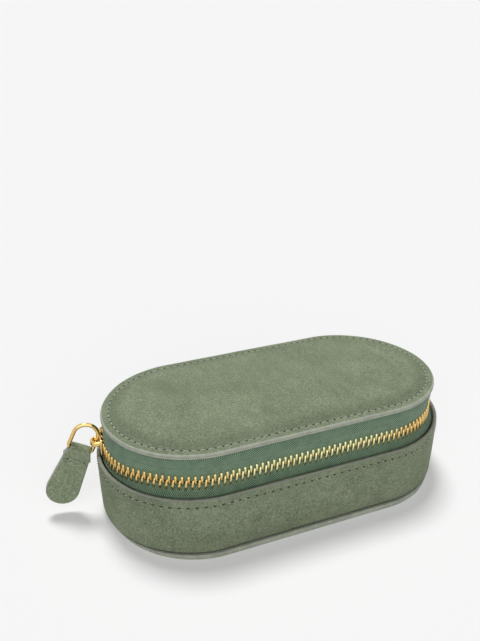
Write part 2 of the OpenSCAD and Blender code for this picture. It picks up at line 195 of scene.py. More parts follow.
class CaseSizes(PropertyGroup):
    """Sizes of the details that are added to the frame's own shapes."""

    lid_pitch: length("Lid stitch pitch", "Distance from one stitch to the next on the lid", 2.6)
    wall_pitch: length("Wall stitch pitch", "Distance from one stitch to the next below the rim", 2.8)
    stitch_length: length("Stitch length", "Visible length of a stitch", 1.75)
    thread_radius: length("Thread radius", "Radius of the sewing thread", 0.2)
    lid_inset: length("Lid stitch inset", "Distance of the stitches from the lid's edge", 2.7)
    rim_drop: length("Rim stitch drop", "Distance of the stitches below the rim", 2.9)
    end_tuck: length("End tuck", "How far the sole's ends lie in under the wall's ends", 2.0)
    tuck_height: length("Tuck height", "Height above the ground at which the ends stop drawing in", 3.4)
    crown: length("Crown", "How far the padded middle of the lid stands above its margin", 1.6)
    tape_thread: length("Tape thread", "Distance between the twill lines of the zip tape", 0.66)
    tape_column: length("Tape column", "Width of one column of the tape's herringbone", 2.7)
    lower_lean: length("Lower tooth lean", "How far the head of a lower tooth leans along the zip", 0.42)
    upper_lean: length("Upper tooth lean", "How far the head of an upper tooth leans along the zip", 0.14)
    wire_sides: IntProperty(name="Wire sides", description="Sides of the ring's wire", min=8, default=20)


class StageSettings(PropertyGroup):
    """Light and camera of the stage."""

    sun: number("Key light", "Strength of the soft key light", 2.2)
    sun_angle: number("Key softness", "How wide the key light is", radians(18), subtype="ANGLE")
    front: number("Front light", "Strength of the wide light from the front", 1.1)
    front_angle: number("Front softness", "How wide the front light is", radians(70), subtype="ANGLE")
    sky: number("Fill light", "Strength of the light from all sides", 0.13)
    floor_glow: number("Pale floor", "How much of the floor's colour is free of shadow", 0.28, max=1)
    backdrop: number("Backdrop", "Brightness of the background behind the floor", 0.97, max=1)
    lens: number("Lens", "Focal length in millimetres", 42.34, subtype="DISTANCE_CAMERA")


def colours():
    """The colour settings of the open scene."""
    return bpy.context.scene.jewelry_case_colours


def sizes():
    """The size settings of the open scene."""
    return bpy.context.scene.jewelry_case_sizes


# ---------------------------------------------------------------- outlines

def near(x, z, *offsets):
    """Points of an outline, at offsets in millimetres from one place."""
    return [(x + right * MM, z + up * MM) for right, up in offsets]


def arc(x, z, radius, start, end, steps):
    """Points of an arc about a centre, from one angle to another in degrees."""
    turns = [radians(start + (end - start) * k / steps) for k in range(steps + 1)]
    return [(x + radius * cos(a), z + radius * sin(a)) for a in turns]


def mirrored(points):
    """The points of one side of an outline, and those of the other side after them."""
    return points + [(-x, z) for x, z in reversed(points)]


def rounded(corners, steps=4):
    """Points of an outline whose corners are (radius or x, height, rounding in millimetres)."""
    points = []
    for i, (x, z, rounding) in enumerate(corners):
        here = Vector((x, z))
        if not rounding:
            points.append(here)
            continue
        back = (Vector(corners[i - 1][:2]) - here).normalized()
        ahead = (Vector(corners[(i + 1) % len(corners)][:2]) - here).normalized()
        half, radius = back.angle(ahead) / 2, rounding * MM
        centre = here + (back + ahead).normalized() * radius / sin(half)
        first = here + back * radius / tan(half) - centre
        last = here + ahead * radius / tan(half) - centre
        points += [centre + first.lerp(last, k / steps).normalized() * radius for k in range(steps + 1)]
    return points


def ramp(value, start, end):
    """A smooth step from 0 at start to 1 at end."""
    t = min(1.0, max(0.0, (value - start) / (end - start)))
    return t * t * (3 - 2 * t)


# ---------------------------------------------------------------- modelling by hand

def pick(*pieces):
    """Selects pieces and nothing else, the first one active."""
    bpy.ops.object.select_all(action="DESELECT")
    for piece in pieces:
        piece.select_set(True)
        bpy.context.view_layer.objects.active = pieces[0]


def new_piece(name):
    """Starts an empty mesh at the origin, in edit mode."""
    pick()
    bpy.ops.object.add(type="MESH")
    piece = bpy.context.object
    piece.name = piece.data.name = name
    bpy.ops.object.mode_set(mode="EDIT")
    return piece


def draw_chain(points, closed=True):
    """Draws edges from point to point in edit mode and leaves them selected."""
    points = [Vector(point) for point in points]
    bpy.ops.mesh.primitive_plane_add(size=MM, calc_uvs=False, location=points[0])
    bpy.ops.mesh.merge(type="CENTER")
    ends = points[1:] + points[:1] if closed else points[1:]
    for start, end in zip(points, ends):
        bpy.ops.mesh.extrude_vertices_move(TRANSFORM_OT_translate={"value": end - start})
    bpy.ops.mesh.select_linked()
    if closed:
        bpy.ops.mesh.remove_doubles(threshold=JOIN)


def extrude(move, steps=1):
    """Extrudes what is selected along a straight line, in equal steps."""
    for _ in range(steps):
        bpy.ops.mesh.extrude_region_move(TRANSFORM_OT_translate={"value": Vector(move) / steps})


def spin(angle, centre, axis=(0, 0, 1), steps=ARC_STEPS):
    """Spins what is selected about an axis, anticlockwise, which the operator counts as negative."""
    bpy.ops.mesh.spin(steps=steps, angle=-angle, center=centre, axis=axis, use_auto_merge=False)


def face_outwards():
    """Turns all faces outwards and leaves edit mode."""
    bpy.ops.mesh.select_all(action="SELECT")
    bpy.ops.mesh.normals_make_consistent(inside=False)
    bpy.ops.object.mode_set(mode="OBJECT")


def close_up():
    """Joins doubles, closes holes and leaves edit mode."""
    bpy.ops.mesh.select_all(action="SELECT")
    bpy.ops.mesh.remove_doubles(threshold=JOIN)
    bpy.ops.mesh.fill_holes(sides=0)
    face_outwards()


def prism(name, points, move, steps=1):
    """A solid whose outline is carried along a straight line."""
    piece = new_piece(name)
    draw_chain(points)
    bpy.ops.mesh.edge_face_add()
    extrude(move, steps)
    close_up()
    return piece


def sweep_oval(name, outline, closed=True, reach=0.0):
    """Carries an outline of (radius, height) points round the oval, from a distance left of the
    middle of the back to the same distance right of it."""
    piece = new_piece(name)
    draw_chain([(-reach, r, z) for r, z in outline], closed)
    back_steps = max(3, round(SIDE_STEPS / 2 * (HALF - reach) / HALF))
    extrude((reach - HALF, 0, 0), back_steps)
    spin(pi, (-HALF, 0, 0))
    extrude((2 * HALF, 0, 0), SIDE_STEPS)
    spin(pi, (HALF, 0, 0))
    extrude((reach - HALF, 0, 0), back_steps)
    close_up()
    return piece


def bevel(piece, width, segments, sharp=60):
    """Rounds the edges of a piece that are sharper than an angle, by a width in millimetres."""
    pick(piece)
    modifier = piece.modifiers.new("Bevel", "BEVEL")
    modifier.width, modifier.segments = width * MM, segments
    modifier.limit_method, modifier.angle_limit = "ANGLE", radians(sharp)
    bpy.ops.object.modifier_apply(modifier=modifier.name)


def join(name, *pieces):
    """Joins pieces into the first one."""
    pick(*pieces)
    bpy.ops.object.join()
    pieces[0].name = pieces[0].data.name = name
    return pieces[0]


def settle(piece, matrix):
    """Moves a piece's mesh to its place and leaves its object at the origin."""
    pick(piece)
    piece.matrix_world = matrix
    bpy.ops.object.transform_apply(location=True, rotation=True, scale=True)


def place_copies(name, template, places):
    """Joins one copy of a template at each place into one piece, and removes the template."""
    copies = []
    for place in places:
        copy = template.copy()
        copy.data = template.data.copy()
        copy.matrix_world = place
        bpy.context.collection.objects.link(copy)
        copies.append(copy)
    piece = join(name, *copies)
    bpy.ops.object.transform_apply(location=True, rotation=True, scale=True)
    bpy.data.objects.remove(template)
    return piece


def reshape(piece, move):
    """Changes the place of each point of a piece's mesh by a function, and gives the piece."""
    for vertex in piece.data.vertices:
        move(vertex.co)
    piece.data.update()
    return piece


def unevenness(piece, depth, grain, seed):
    """Moves a piece's surface in and out a little, in millimetres, as hand-laid leather lies."""
    shift = Vector((seed, seed, seed))
    mesh = piece.data
    moves = [v.normal * depth * MM * noise.noise(v.co / (grain * MM) + shift) for v in mesh.vertices]
    for vertex, move in zip(mesh.vertices, moves):
        vertex.co += move
    mesh.update()


def paint_faces(piece, base, *others):
    """Gives a piece its base material, and others to the faces that their tests pick."""
    piece.data.materials.clear()
    piece.data.materials.append(base)
    for material, test in others:
        piece.data.materials.append(material)
        for face in piece.data.polygons:
            if test(face):
                face.material_index = len(piece.data.materials) - 1


def smooth(piece, sharp=50):
    """Shades a piece smooth, except over edges sharper than an angle."""
    pick(piece)
    bpy.ops.object.shade_smooth_by_angle(angle=radians(sharp))


def finish_piece(piece, body, slot, nodes, *looks, sharp=50):
    """Paints a piece if looks are given, smooths it, fixes it to its body and hides the CAD nodes
    that it stands for. The slot that it is given is not used."""
    if looks:
        paint_faces(piece, *looks)
    smooth(piece, sharp)
    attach(piece, body)
    if nodes:
        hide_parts(*nodes)
    return piece


# ---------------------------------------------------------------- places along the oval

def oval_length(ring):
    """Length of the oval's outline at a radius."""
    return 4 * HALF + 2 * pi * ring


def oval_point(along, ring, radius):
    """Point at a radius and its outward direction, a length along the oval from the middle of the
    back by the left end, measured at the radius ring."""
    whole = oval_length(ring)
    along %= whole
    if along > whole / 2:
        point, angle = oval_point(whole - along, ring, radius)
        return Vector((-point.x, point.y, 0)), 3 * pi - angle
    if along < HALF:
        return Vector((-along, radius, 0)), pi / 2
    if along < HALF + pi * ring:
        angle = pi / 2 + (along - HALF) / ring
        return Vector((-HALF + radius * cos(angle), radius * sin(angle), 0)), angle
    return Vector((along - whole / 2, -radius, 0)), 1.5 * pi


def radius_of(point):
    """Distance of a point from the oval's spine."""
    return hypot(max(0.0, abs(point.x) - HALF), point.y)


def along_oval(point, ring):
    """Length along the oval at the radius ring of a point."""
    whole, x = oval_length(ring), -abs(point.x)
    if x < -HALF:
        angle = atan2(point.y, x + HALF) % (2 * pi)
        along = HALF + (angle - pi / 2) * ring
    else:
        along = whole / 2 + x if point.y < 0 else -x
    return whole - along if point.x > 0 else along


def lay_along(piece, ring, per, across):
    """Gives a piece a UV map that runs along the oval in units of per, and across it by a
    function of the point, in millimetres."""
    mesh = piece.data
    whole = oval_length(ring)
    layer = mesh.uv_layers.new(name="Along")
    for face in mesh.polygons:
        points = [mesh.vertices[v].co for v in face.vertices]
        lengths = [along_oval(point, ring) for point in points]
        if max(lengths) - min(lengths) > whole / 2:
            lengths = [s + whole if s < whole / 2 else s for s in lengths]
        for loop, s, point in zip(face.loop_indices, lengths, points):
            layer.data[loop].uv = (s / per, across(point) / MM)


# ---------------------------------------------------------------- shader groups

class Wiring:
    """Adds nodes to one node tree and joins them."""

    def __init__(self, tree):
        self.tree = tree

    def add(self, kind, **settings):
        """A new node with settings."""
        node = self.tree.nodes.new(kind)
        for key, value in settings.items():
            setattr(node, key, value)
        return node

    def plug(self, value, socket):
        """Joins an output to a socket, or sets the socket to a number or a colour."""
        if isinstance(value, bpy.types.NodeSocket):
            self.tree.links.new(value, socket)
        else:
            socket.default_value = value

    def fill(self, node, values):
        """Plugs values into a node's inputs, by their names or numbers."""
        for key, value in values.items():
            self.plug(value, node.inputs[key])
        return node.outputs

    def maths(self, operation, *values):
        """A maths node's result."""
        return self.fill(self.add("ShaderNodeMath", operation=operation), dict(enumerate(values)))[0]

    def times(self, first, second):
        """A product."""
        return self.maths("MULTIPLY", first, second)

    def size_of(self, value):
        """A value without its sign."""
        return self.maths("ABSOLUTE", value)

    def split(self, vector):
        """The X, Y and Z of a vector."""
        return self.fill(self.add("ShaderNodeSeparateXYZ"), {0: vector})

    def turn(self, vector, rotation, scale):
        """A vector turned and scaled."""
        values = {"Vector": vector, "Rotation": rotation, "Scale": scale}
        return self.fill(self.add("ShaderNodeMapping"), values)[0]

    def blend(self, factor, first, second, mode="MIX"):
        """A mix of two colours."""
        node = self.add("ShaderNodeMix", data_type="RGBA", blend_type=mode)
        return self.fill(node, {"Factor": factor, 6: first, 7: second})[2]

    def noise(self, vector, scale, detail=2.0, roughness=0.5, distortion=0.0):
        """A noise value about 0.5."""
        values = {"Vector": vector, "Scale": scale, "Detail": detail, "Roughness": roughness,
                  "Distortion": distortion}
        return self.fill(self.add("ShaderNodeTexNoise"), values)["Fac"]

    def step(self, value, start, end, low=0.0, high=1.0):
        """A smooth step of a value from low at start to high at end."""
        node = self.add("ShaderNodeMapRange", interpolation_type="SMOOTHSTEP")
        values = {"Value": value, "From Min": start, "From Max": end, "To Min": low, "To Max": high}
        return self.fill(node, values)["Result"]

    def group(self, tree, **values):
        """A node group's outputs, from its input values."""
        return self.fill(self.add("ShaderNodeGroup", node_tree=tree), values)

    def mix_shaders(self, factor, first, second, output):
        """Plugs a mix of two shaders into an output node."""
        mixed = self.fill(self.add("ShaderNodeMixShader"), {0: factor, 1: first, 2: second})
        self.plug(mixed[0], output.inputs["Surface"])


def shader_group(name, vector, colours="", numbers="", outputs="Color Roughness Height"):
    """Turns a function that wires nodes into one that gives the shader group of that name, which
    is made once. Its sockets are listed by their kinds."""
    def wrap(wire):
        @wraps(wire)
        def give():
            if name in bpy.data.node_groups:
                return bpy.data.node_groups[name]
            tree = bpy.data.node_groups.new(name, "ShaderNodeTree")
            for labels, kind in ((vector, "Vector"), (colours, "Color"), (numbers, "Float")):
                for label in labels.split():
                    tree.interface.new_socket(label, in_out="INPUT", socket_type="NodeSocket" + kind)
            for label in outputs.split():
                kind = "Color" if label == "Color" else "Float"
                tree.interface.new_socket(label, in_out="OUTPUT", socket_type="NodeSocket" + kind)
            w = Wiring(tree)
            results = wire(w, w.add("NodeGroupInput").outputs)
            w.fill(w.add("NodeGroupOutput"), dict(zip(outputs.split(), results)))
            return tree
        return give
    return wrap


@shader_group("Suede Nap", "Vector", "Color Light Dark", "Fibre Mottle")
def suede_nap(w, into):
    """Short brushed nap: fibres, strokes where it was rubbed, and broad soft patches."""
    place, fibre, light, dark = into["Vector"], into["Fibre"], into["Light"], into["Dark"]
    fibres = w.noise(place, fibre, 3.0, 0.75)
    tufts = w.noise(place, w.times(fibre, 0.6), 2.0, 0.65)
    strokes = w.noise(w.turn(place, (0.35, -0.25, 0.6), (1.0, 0.42, 0.8)), 330.0, 4.0, 0.62, 0.5)
    patches = w.noise(place, 72.0, 3.0, 0.6, 0.2)
    pile = w.maths("ADD", w.times(strokes, 0.4), w.times(patches, 0.6))
    tone = into["Color"]
    for other, start, end in ((light, 0.48, 0.66), (dark, 0.52, 0.34)):
        tone = w.blend(w.times(w.times(w.step(pile, start, end), into["Mottle"]), 0.42), tone, other)
    for other, start, end in ((light, 0.52, 0.66), (dark, 0.48, 0.34)):
        tone = w.blend(w.step(tufts, start, end, 0.0, 0.85), tone, other)
    tone = w.blend(1.0, tone, w.maths("ADD", fibres, 0.5), "MULTIPLY")
    height = w.maths("ADD", w.times(fibres, 0.45), w.times(tufts, 0.55))
    return tone, w.step(fibres, 0.3, 0.7, 0.84, 0.97), height


@shader_group("Needle Holes", "Along", numbers="Row Pitch Size Narrowing", outputs="Hole Groove Fall")
def needle_holes(w, into):
    """Dark pricked holes at whole numbers along a seam, the groove that the thread pulls, and the slope
    inside it where the padding falls away; the groove, which also sinks the surface, and the slope are masks
    for painted shade."""
    along, across, _ = w.split(into["Along"])
    aside = w.maths("SUBTRACT", across, into["Row"])
    off = w.times(w.maths("SUBTRACT", along, w.maths("ROUND", along)), into["Pitch"])
    off = w.times(off, into["Narrowing"])
    gap = w.maths("SQRT", w.maths("ADD", w.times(off, off), w.times(aside, aside)))
    hole = w.step(w.maths("DIVIDE", gap, into["Size"]), 1.0, 0.55)
    groove = w.step(w.size_of(aside), 0.75, 0.0)
    return hole, groove, w.times(w.step(aside, -0.6, 1.3), w.step(aside, 5.6, 1.7))


@shader_group("Edge Paint", "Vector", "Color Line", "First Second")
def edge_paint(w, into):
    """Sealed edge of stacked leather: smooth paint, a little uneven, with lines between layers."""
    place, line = into["Vector"], into["Line"]
    level = w.maths("MULTIPLY_ADD", w.noise(place, 120.0), 0.12 * MM, w.split(place)[2])
    lines = 0.0
    for label in ("First", "Second"):
        off = w.size_of(w.maths("SUBTRACT", level, into[label]))
        lines = w.maths("MAXIMUM", w.step(off, 0.1 * MM, 0.03 * MM), lines)
    blotches = w.noise(place, 420.0, 3.0, 0.6)
    grain = w.noise(place, 2400.0, 2.0, 0.6)
    tone = w.blend(w.step(blotches, 0.35, 0.7, 0.0, 0.28), into["Color"], line)
    bumps = w.maths("ADD", w.times(blotches, 0.5), w.times(grain, 0.2))
    return (w.blend(w.times(lines, 0.55), tone, line), w.step(blotches, 0.3, 0.7, 0.4, 0.58),
            w.maths("SUBTRACT", bumps, w.times(lines, 0.6)))


@shader_group("Herringbone Tape", "Along", "Color Light Dark", "Thread Column")
def herringbone(w, into):
    """Woven zip tape: columns of twill that slant left and right in turn."""
    along, across, _ = w.split(into["Along"])
    thread, dark = into["Thread"], into["Dark"]
    fold = w.maths("PINGPONG", across, into["Column"])
    twill = w.maths("SINE", w.times(w.maths("DIVIDE", w.maths("ADD", along, fold), thread), 2 * pi))
    rib = w.maths("SINE", w.times(w.maths("DIVIDE", across, thread), 4 * pi))
    weave = w.maths("ADD", w.maths("MULTIPLY_ADD", twill, 0.4, 0.5), w.times(rib, 0.14))
    seam = w.step(w.size_of(fold), 0.18, 0.0)
    tone = w.blend(w.step(weave, 0.15, 0.55), dark, into["Color"])
    tone = w.blend(w.step(weave, 0.5, 0.85, 0.0, 0.9), tone, into["Light"])
    tone = w.blend(w.step(w.noise(into["Along"], 0.35, 3.0, 0.6), 0.35, 0.7, 0.0, 0.3), tone, dark)
    return (w.blend(w.times(seam, 0.4), tone, dark), w.step(weave, 0.0, 1.0, 0.85, 0.6),
            w.maths("SUBTRACT", weave, w.times(seam, 0.3)))


@shader_group("Metal Wear", "Vector", "Color Dull", "Smooth Rough")
def metal_wear(w, into):
    """Handled metal: fine scratches, faint smudges and a little dulling."""
    smudge = w.noise(into["Vector"], 380.0, 3.0, 0.6, 0.4)
    scratches = w.noise(w.turn(into["Vector"], (0.4, 0.9, 0.2), (1.0, 12.0, 12.0)), 420.0, 3.0, 0.7)
    mix = w.maths("ADD", w.times(smudge, 0.7), w.times(scratches, 0.3))
    return (w.blend(w.step(smudge, 0.45, 0.75, 0.0, 0.4), into["Color"], into["Dull"]),
            w.step(mix, 0.3, 0.7, into["Smooth"], into["Rough"]), scratches)


# ---------------------------------------------------------------- materials

def linear(value, factor=1.0):
    """A display colour as the linear colour that a shader takes, made lighter or darker."""
    return [factor * (c / 12.92 if c <= 0.04045 else ((c + 0.055) / 1.055) ** 2.4) for c in value] + [1.0]


def darker(tone, factor):
    """A linear colour made darker."""
    return [v * factor for v in tone[:3]] + [1.0]


def material(wire):
    """Turns a function that wires a shader into one that gives the material of a name, which is
    made once. The function gets the wiring and the object's coordinates, and returns the colour,
    the roughness, the height of the bump with its depth and strength, and the shader's constants."""
    @wraps(wire)
    def give(name, *args, **settings):
        if name in bpy.data.materials:
            return bpy.data.materials[name]
        made = bpy.data.materials.new(name)
        made.use_nodes = True
        w = Wiring(made.node_tree)
        shader = made.node_tree.nodes["Principled BSDF"]
        coords = w.add("ShaderNodeTexCoord").outputs
        colour, roughness, (height, depth, strength), constants = wire(w, coords, *args, **settings)
        bump = w.fill(w.add("ShaderNodeBump"), {"Height": height, "Distance": depth, "Strength": strength})
        w.fill(shader, {"Base Color": colour, "Roughness": roughness, "Normal": bump[0]})
        for label, value in constants.items():
            shader.inputs[label].default_value = value
        return made
    return give


@material
def suede(w, coords, tint=1.0, mottle=1.0, fibre=2600.0, seam=None, fall=0.0, base=None):
    """Suede, with needle holes and painted shade in the thread's groove along a seam if it is given as
    (row, pitch, hole size, narrowing) in millimetres, and painted shade as strong as fall says where the
    padding falls away to it."""
    c = colours()
    main, light, dark = (linear(tone, tint) for tone in base or (c.suede, c.suede_light, c.suede_dark))
    tone, roughness, height = w.group(
        suede_nap(), Vector=coords["Object"], Color=main, Light=light, Dark=dark, Fibre=fibre, Mottle=mottle)
    if seam:
        row, pitch, size, narrowing = seam
        hole, groove, slope = w.group(needle_holes(), Along=coords["UV"], Row=row, Pitch=pitch, Size=size,
                                      Narrowing=narrowing)
        # Painted shade in the thread's groove and on the padding's slope; the needle holes are dark
        for mask, share, depth in ((groove, 0.22, 1.0), (slope, fall, 0.7), (hole, 0.8, 0.16)):
            tone = w.blend(w.times(mask, share), tone, darker(dark, depth))
        height = w.maths("SUBTRACT", height, w.maths("ADD", w.times(hole, 3.0), w.times(groove, 1.2)))
    return tone, roughness, (height, 0.12 * MM, 0.7), {
        "Specular IOR Level": 0.2, "Sheen Weight": 0.4, "Sheen Roughness": 0.4, "Sheen Tint": light}


@material
def painted_edge(w, coords, first=0.0, second=0.0, tint=1.0):
    """Painted edge with lines at one or two heights."""
    c = colours()
    colour, roughness, height = w.group(
        edge_paint(), Vector=coords["Object"], Color=linear(c.edge, tint), Line=linear(c.edge_dark),
        First=first, Second=second)
    return colour, roughness, (height, 0.08 * MM, 0.5), {"Specular IOR Level": 0.45}


@material
def zip_tape(w, coords):
    """Woven tape of the zip."""
    c, s = colours(), sizes()
    colour, roughness, height = w.group(
        herringbone(), Along=coords["UV"], Color=linear(c.tape), Light=linear(c.tape_light),
        Dark=linear(c.tape_dark), Thread=s.tape_thread / MM, Column=s.tape_column / MM)
    return colour, roughness, (height, 0.12 * MM, 0.8), {"Specular IOR Level": 0.3, "Sheen Weight": 0.12}


# What gold is multiplied by for painted shade on its undersides, and where it is dull
UNDERSIDE_SHADE_GOLD, DULL_GOLD = (0.36, 0.27, 0.16, 1.0), (0.8, 0.72, 0.6, 1.0)


@material
def gold(w, coords, tone, smooth_to=0.12, rough_to=0.26, deep=None):
    """Polished gold plating, with painted shade that makes it browner underneath, and with a painted
    darker reflection in a deeper tone at the case's ends if that tone is given."""
    full = linear(tone)
    # Painted darker reflection: the colour turns to the deeper tone towards the case's ends
    if deep:
        outward = w.size_of(w.split(coords["Object"])[0])
        full = w.blend(w.step(outward, REFLECTION_SHADE_FULL_X, REFLECTION_SHADE_START_X), linear(deep), full)
    # Painted shade: the gold turns brown where its surface faces down
    underside_shade = w.blend(1.0, full, UNDERSIDE_SHADE_GOLD, "MULTIPLY")
    full = w.blend(w.step(w.split(coords["Normal"])[2], 0.15, -0.75, 0.0, 0.8), full, underside_shade)
    dull = w.blend(1.0, full, DULL_GOLD, "MULTIPLY")
    colour, roughness, height = w.group(
        metal_wear(), Vector=coords["Object"], Color=full, Dull=dull, Smooth=smooth_to, Rough=rough_to)
    return colour, roughness, (height, 0.01 * MM, 0.25), {"Metallic": 1.0}


@material
def fibres(w, coords, tone, grain, shade, ends, rough, bump):
    """Thread or board: twisted or matted fibres of one colour."""
    fibre = w.noise(coords["Object"], *grain)
    full = linear(tone)
    colour = w.blend(w.step(fibre, *ends), darker(full, shade), full)
    return colour, w.step(fibre, 0.3, 0.7, *rough), (fibre, *bump), {}


def sewing_thread():
    """Twisted polyester thread."""
    return fibres("sewing thread", colours().thread, grain=(4200.0, 2.0, 0.5), shade=0.55, ends=(0.3, 0.65),
                  rough=(0.6, 0.42), bump=(0.05 * MM, 0.6))


def stiff_board():
    """Dark fibre board that stiffens the walls and the lid."""
    return fibres("stiff board", colours().board, grain=(900.0, 4.0, 0.7), shade=0.6, ends=(0.35, 0.7),
                  rough=(0.8, 0.95), bump=(0.1 * MM, 0.4))


def soft_lining(name, tint=1.0):
    """Suedette of the inside: finer and more even than the outer suede."""
    plain = colours().lining
    light = [min(1.0, v * 1.12) for v in plain]
    return suede(name, tint=tint, mottle=0.5, fibre=4200.0, base=(plain, light, [v * 0.84 for v in plain]))


# ---------------------------------------------------------------- stitches

def sew(name, places, body):
    """A row of stitches, one at each place, with X along the seam and Z out of the leather."""
    s = sizes()
    stitch = new_piece("stitch")
    radius, half = s.thread_radius, s.stitch_length / 2
    bpy.ops.mesh.primitive_circle_add(
        vertices=7, radius=radius, calc_uvs=False, location=(-half - radius, 0, -1.6 * radius),
        rotation=(0, radians(62), 0)
    )
    for x, z in ((radius, 1.3), (0.5 * half, 0.9), (half, 0.0), (0.5 * half, -0.9), (radius, -1.3)):
        extrude((x, 0, z * radius))
    close_up()
    return finish_piece(place_copies(name, stitch, places), body, "suede", (), sewing_thread(), sharp=60)


def stitch_step(ring, pitch):
    """The pitch nearest to one that is wished for at which whole stitches go round the oval."""
    return oval_length(ring) / round(oval_length(ring) / pitch)


def sew_round(name, body, ring, step, radius, height, tilt=0.0, stretch=1.0):
    """A row of stitches round the oval at a radius and a height, one at each step along it,
    measured at the radius ring. Their Z points outwards when tilt is a quarter turn."""
    places = []
    for i in range(round(oval_length(ring) / step)):
        point, angle = oval_point((i + 0.5) * step, ring, radius)
        point.z = height
        turn = Matrix.Rotation(angle + pi / 2, 4, "Z") @ Matrix.Rotation(tilt, 4, "X")
        places.append(Matrix.Translation(point) @ turn @ Matrix.Scale(stretch, 4, (1, 0, 0)))
    return sew(name, places, body)


# ---------------------------------------------------------------- base

def wall_radius(z):
    """Outer radius of the wall at a height."""
    share = (z - WALL_FOOT) / (RIM_Z - WALL_FOOT)
    return RIM_R - WALL_FLARE * (1 - share) + 0.12 * MM * sin(pi * min(1, max(0, share)))


def draw_in(piece):
    """Draws the foot of the base's two ends in under the case."""
    s = sizes()

    def move(point):
        out = max(0.0, abs(point.x) - HALF) / RIM_R
        point.x -= copysign(s.end_tuck * out * ramp(point.z, s.tuck_height, 0), point.x)
    return reshape(piece, move)


class JEWELRYCASE_OT_wall(Operator):
    """Suede wall with its painted rim and the row of stitches below it"""

    bl_idname = "jewelry_case.wall"
    bl_label = "Wall"

    def execute(self, context):
        s = sizes()
        row_z = RIM_Z - s.rim_drop
        groove, turn, round_off = 0.14 * MM, RIM_T / 2, 0.9 * MM
        foot_r = RIM_R - WALL_FLARE
        levels = [(WALL_FOOT + share * (row_z - WALL_FOOT), 0)
                  for share in (0.06, 0.12, 0.26, 0.4, 0.54, 0.68, 0.82, 0.92)]
        levels += [(row_z, -groove), (row_z + 0.6 * MM, 0), *near(RIM_Z, 0, (-1.35, 0.04), (-0.85, -0.02))]
        outline = [(foot_r - WALL_T, WALL_FOOT)]
        outline += arc(foot_r - round_off, WALL_FOOT + round_off, round_off, -90, -15, 5)
        outline += [(wall_radius(z) + out, z) for z, out in levels]
        outline += arc(RIM_R - turn, RIM_Z - turn, turn, 0, 180, 10)
        wall = sweep_oval("suede_wall", outline)
        unevenness(wall, depth=0.09, grain=11, seed=3.7)
        step = stitch_step(RIM_R, s.wall_pitch)
        lay_along(wall, RIM_R, step, lambda point: RIM_Z - point.z)
        draw_in(wall)
        finish_piece(
            wall, "base", "suede", ["wall_leather"],
            suede("wall suede", tint=0.93, mottle=1.5, seam=(s.rim_drop / MM, s.wall_pitch / MM, 0.36, 0.4)),
            (painted_edge("painted rim", tint=0.7), lambda f: f.center.z > RIM_Z - 0.45 * MM),
        )
        sunk_r = wall_radius(row_z) - 1.5 * groove
        draw_in(sew_round("wall_stitches", "base", RIM_R, step, sunk_r, row_z, -pi / 2, 0.72))
        return {"FINISHED"}


class JEWELRYCASE_OT_sole(Operator):
    """Sole of two glued layers with a painted edge"""

    bl_idname = "jewelry_case.sole"
    bl_label = "Sole"

    def execute(self, context):
        seam_z, upper_r, inner = 0.84 * SOLE_TOP, SOLE_R - 0.8 * MM, SOLE_R - 3 * MM
        outline = [(0, SOLE_TOP), (SOLE_R / 2, SOLE_TOP)]
        outline += rounded([(inner, SOLE_TOP, 0), (upper_r, SOLE_TOP, 0.2), (upper_r, seam_z, 0)])[1:]
        outline += rounded([(upper_r, seam_z, 0), (SOLE_R, seam_z, 0.35), (SOLE_R, 0, 0.45),
                            (inner, 0, 0)])[1:-1]
        outline += [(SOLE_R / 2, 0), (0, 0)]
        sole = sweep_oval("leather_sole", outline, closed=False)
        paint_faces(
            sole,
            suede("sole suede", tint=0.86, mottle=0.7),
            # Painted light: the sole's edge paint is lightened as if lit by the bright floor; a dark line
            # lies 0.4 mm above the ground
            (painted_edge("painted sole edge", first=0.4 * MM, tint=1.28),
             lambda f: abs(f.normal.z) < 0.97 or radius_of(f.center) > upper_r),
            # Painted shade: the sole's recessed top layer is painted near black for the shadow band under
            # the wall's foot
            (painted_edge("painted welt", tint=0.3),
             lambda f: radius_of(f.center) > upper_r - 0.4 * MM and f.center.z > seam_z + 0.02 * MM),
        )
        finish_piece(draw_in(sole), "base", "sole_leather", ["sole"], sharp=35)
        return {"FINISHED"}


# ---------------------------------------------------------------- lid

def hang_ends(piece):
    """Lets the lid's ends reach out and hang a little, as soft leather does past its board, and
    lets its back stand a little high on the hinge."""
    def move(point):
        out = max(0.0, abs(point.x) - HALF) / LID_R
        back = max(0.0, point.y) / LID_R
        point.x += copysign(0.5 * MM * out, point.x)
        point.y += 0.4 * MM * back
        point.z += 0.35 * MM * back * (1 - out) - 0.3 * MM * out * out
    return reshape(piece, move)


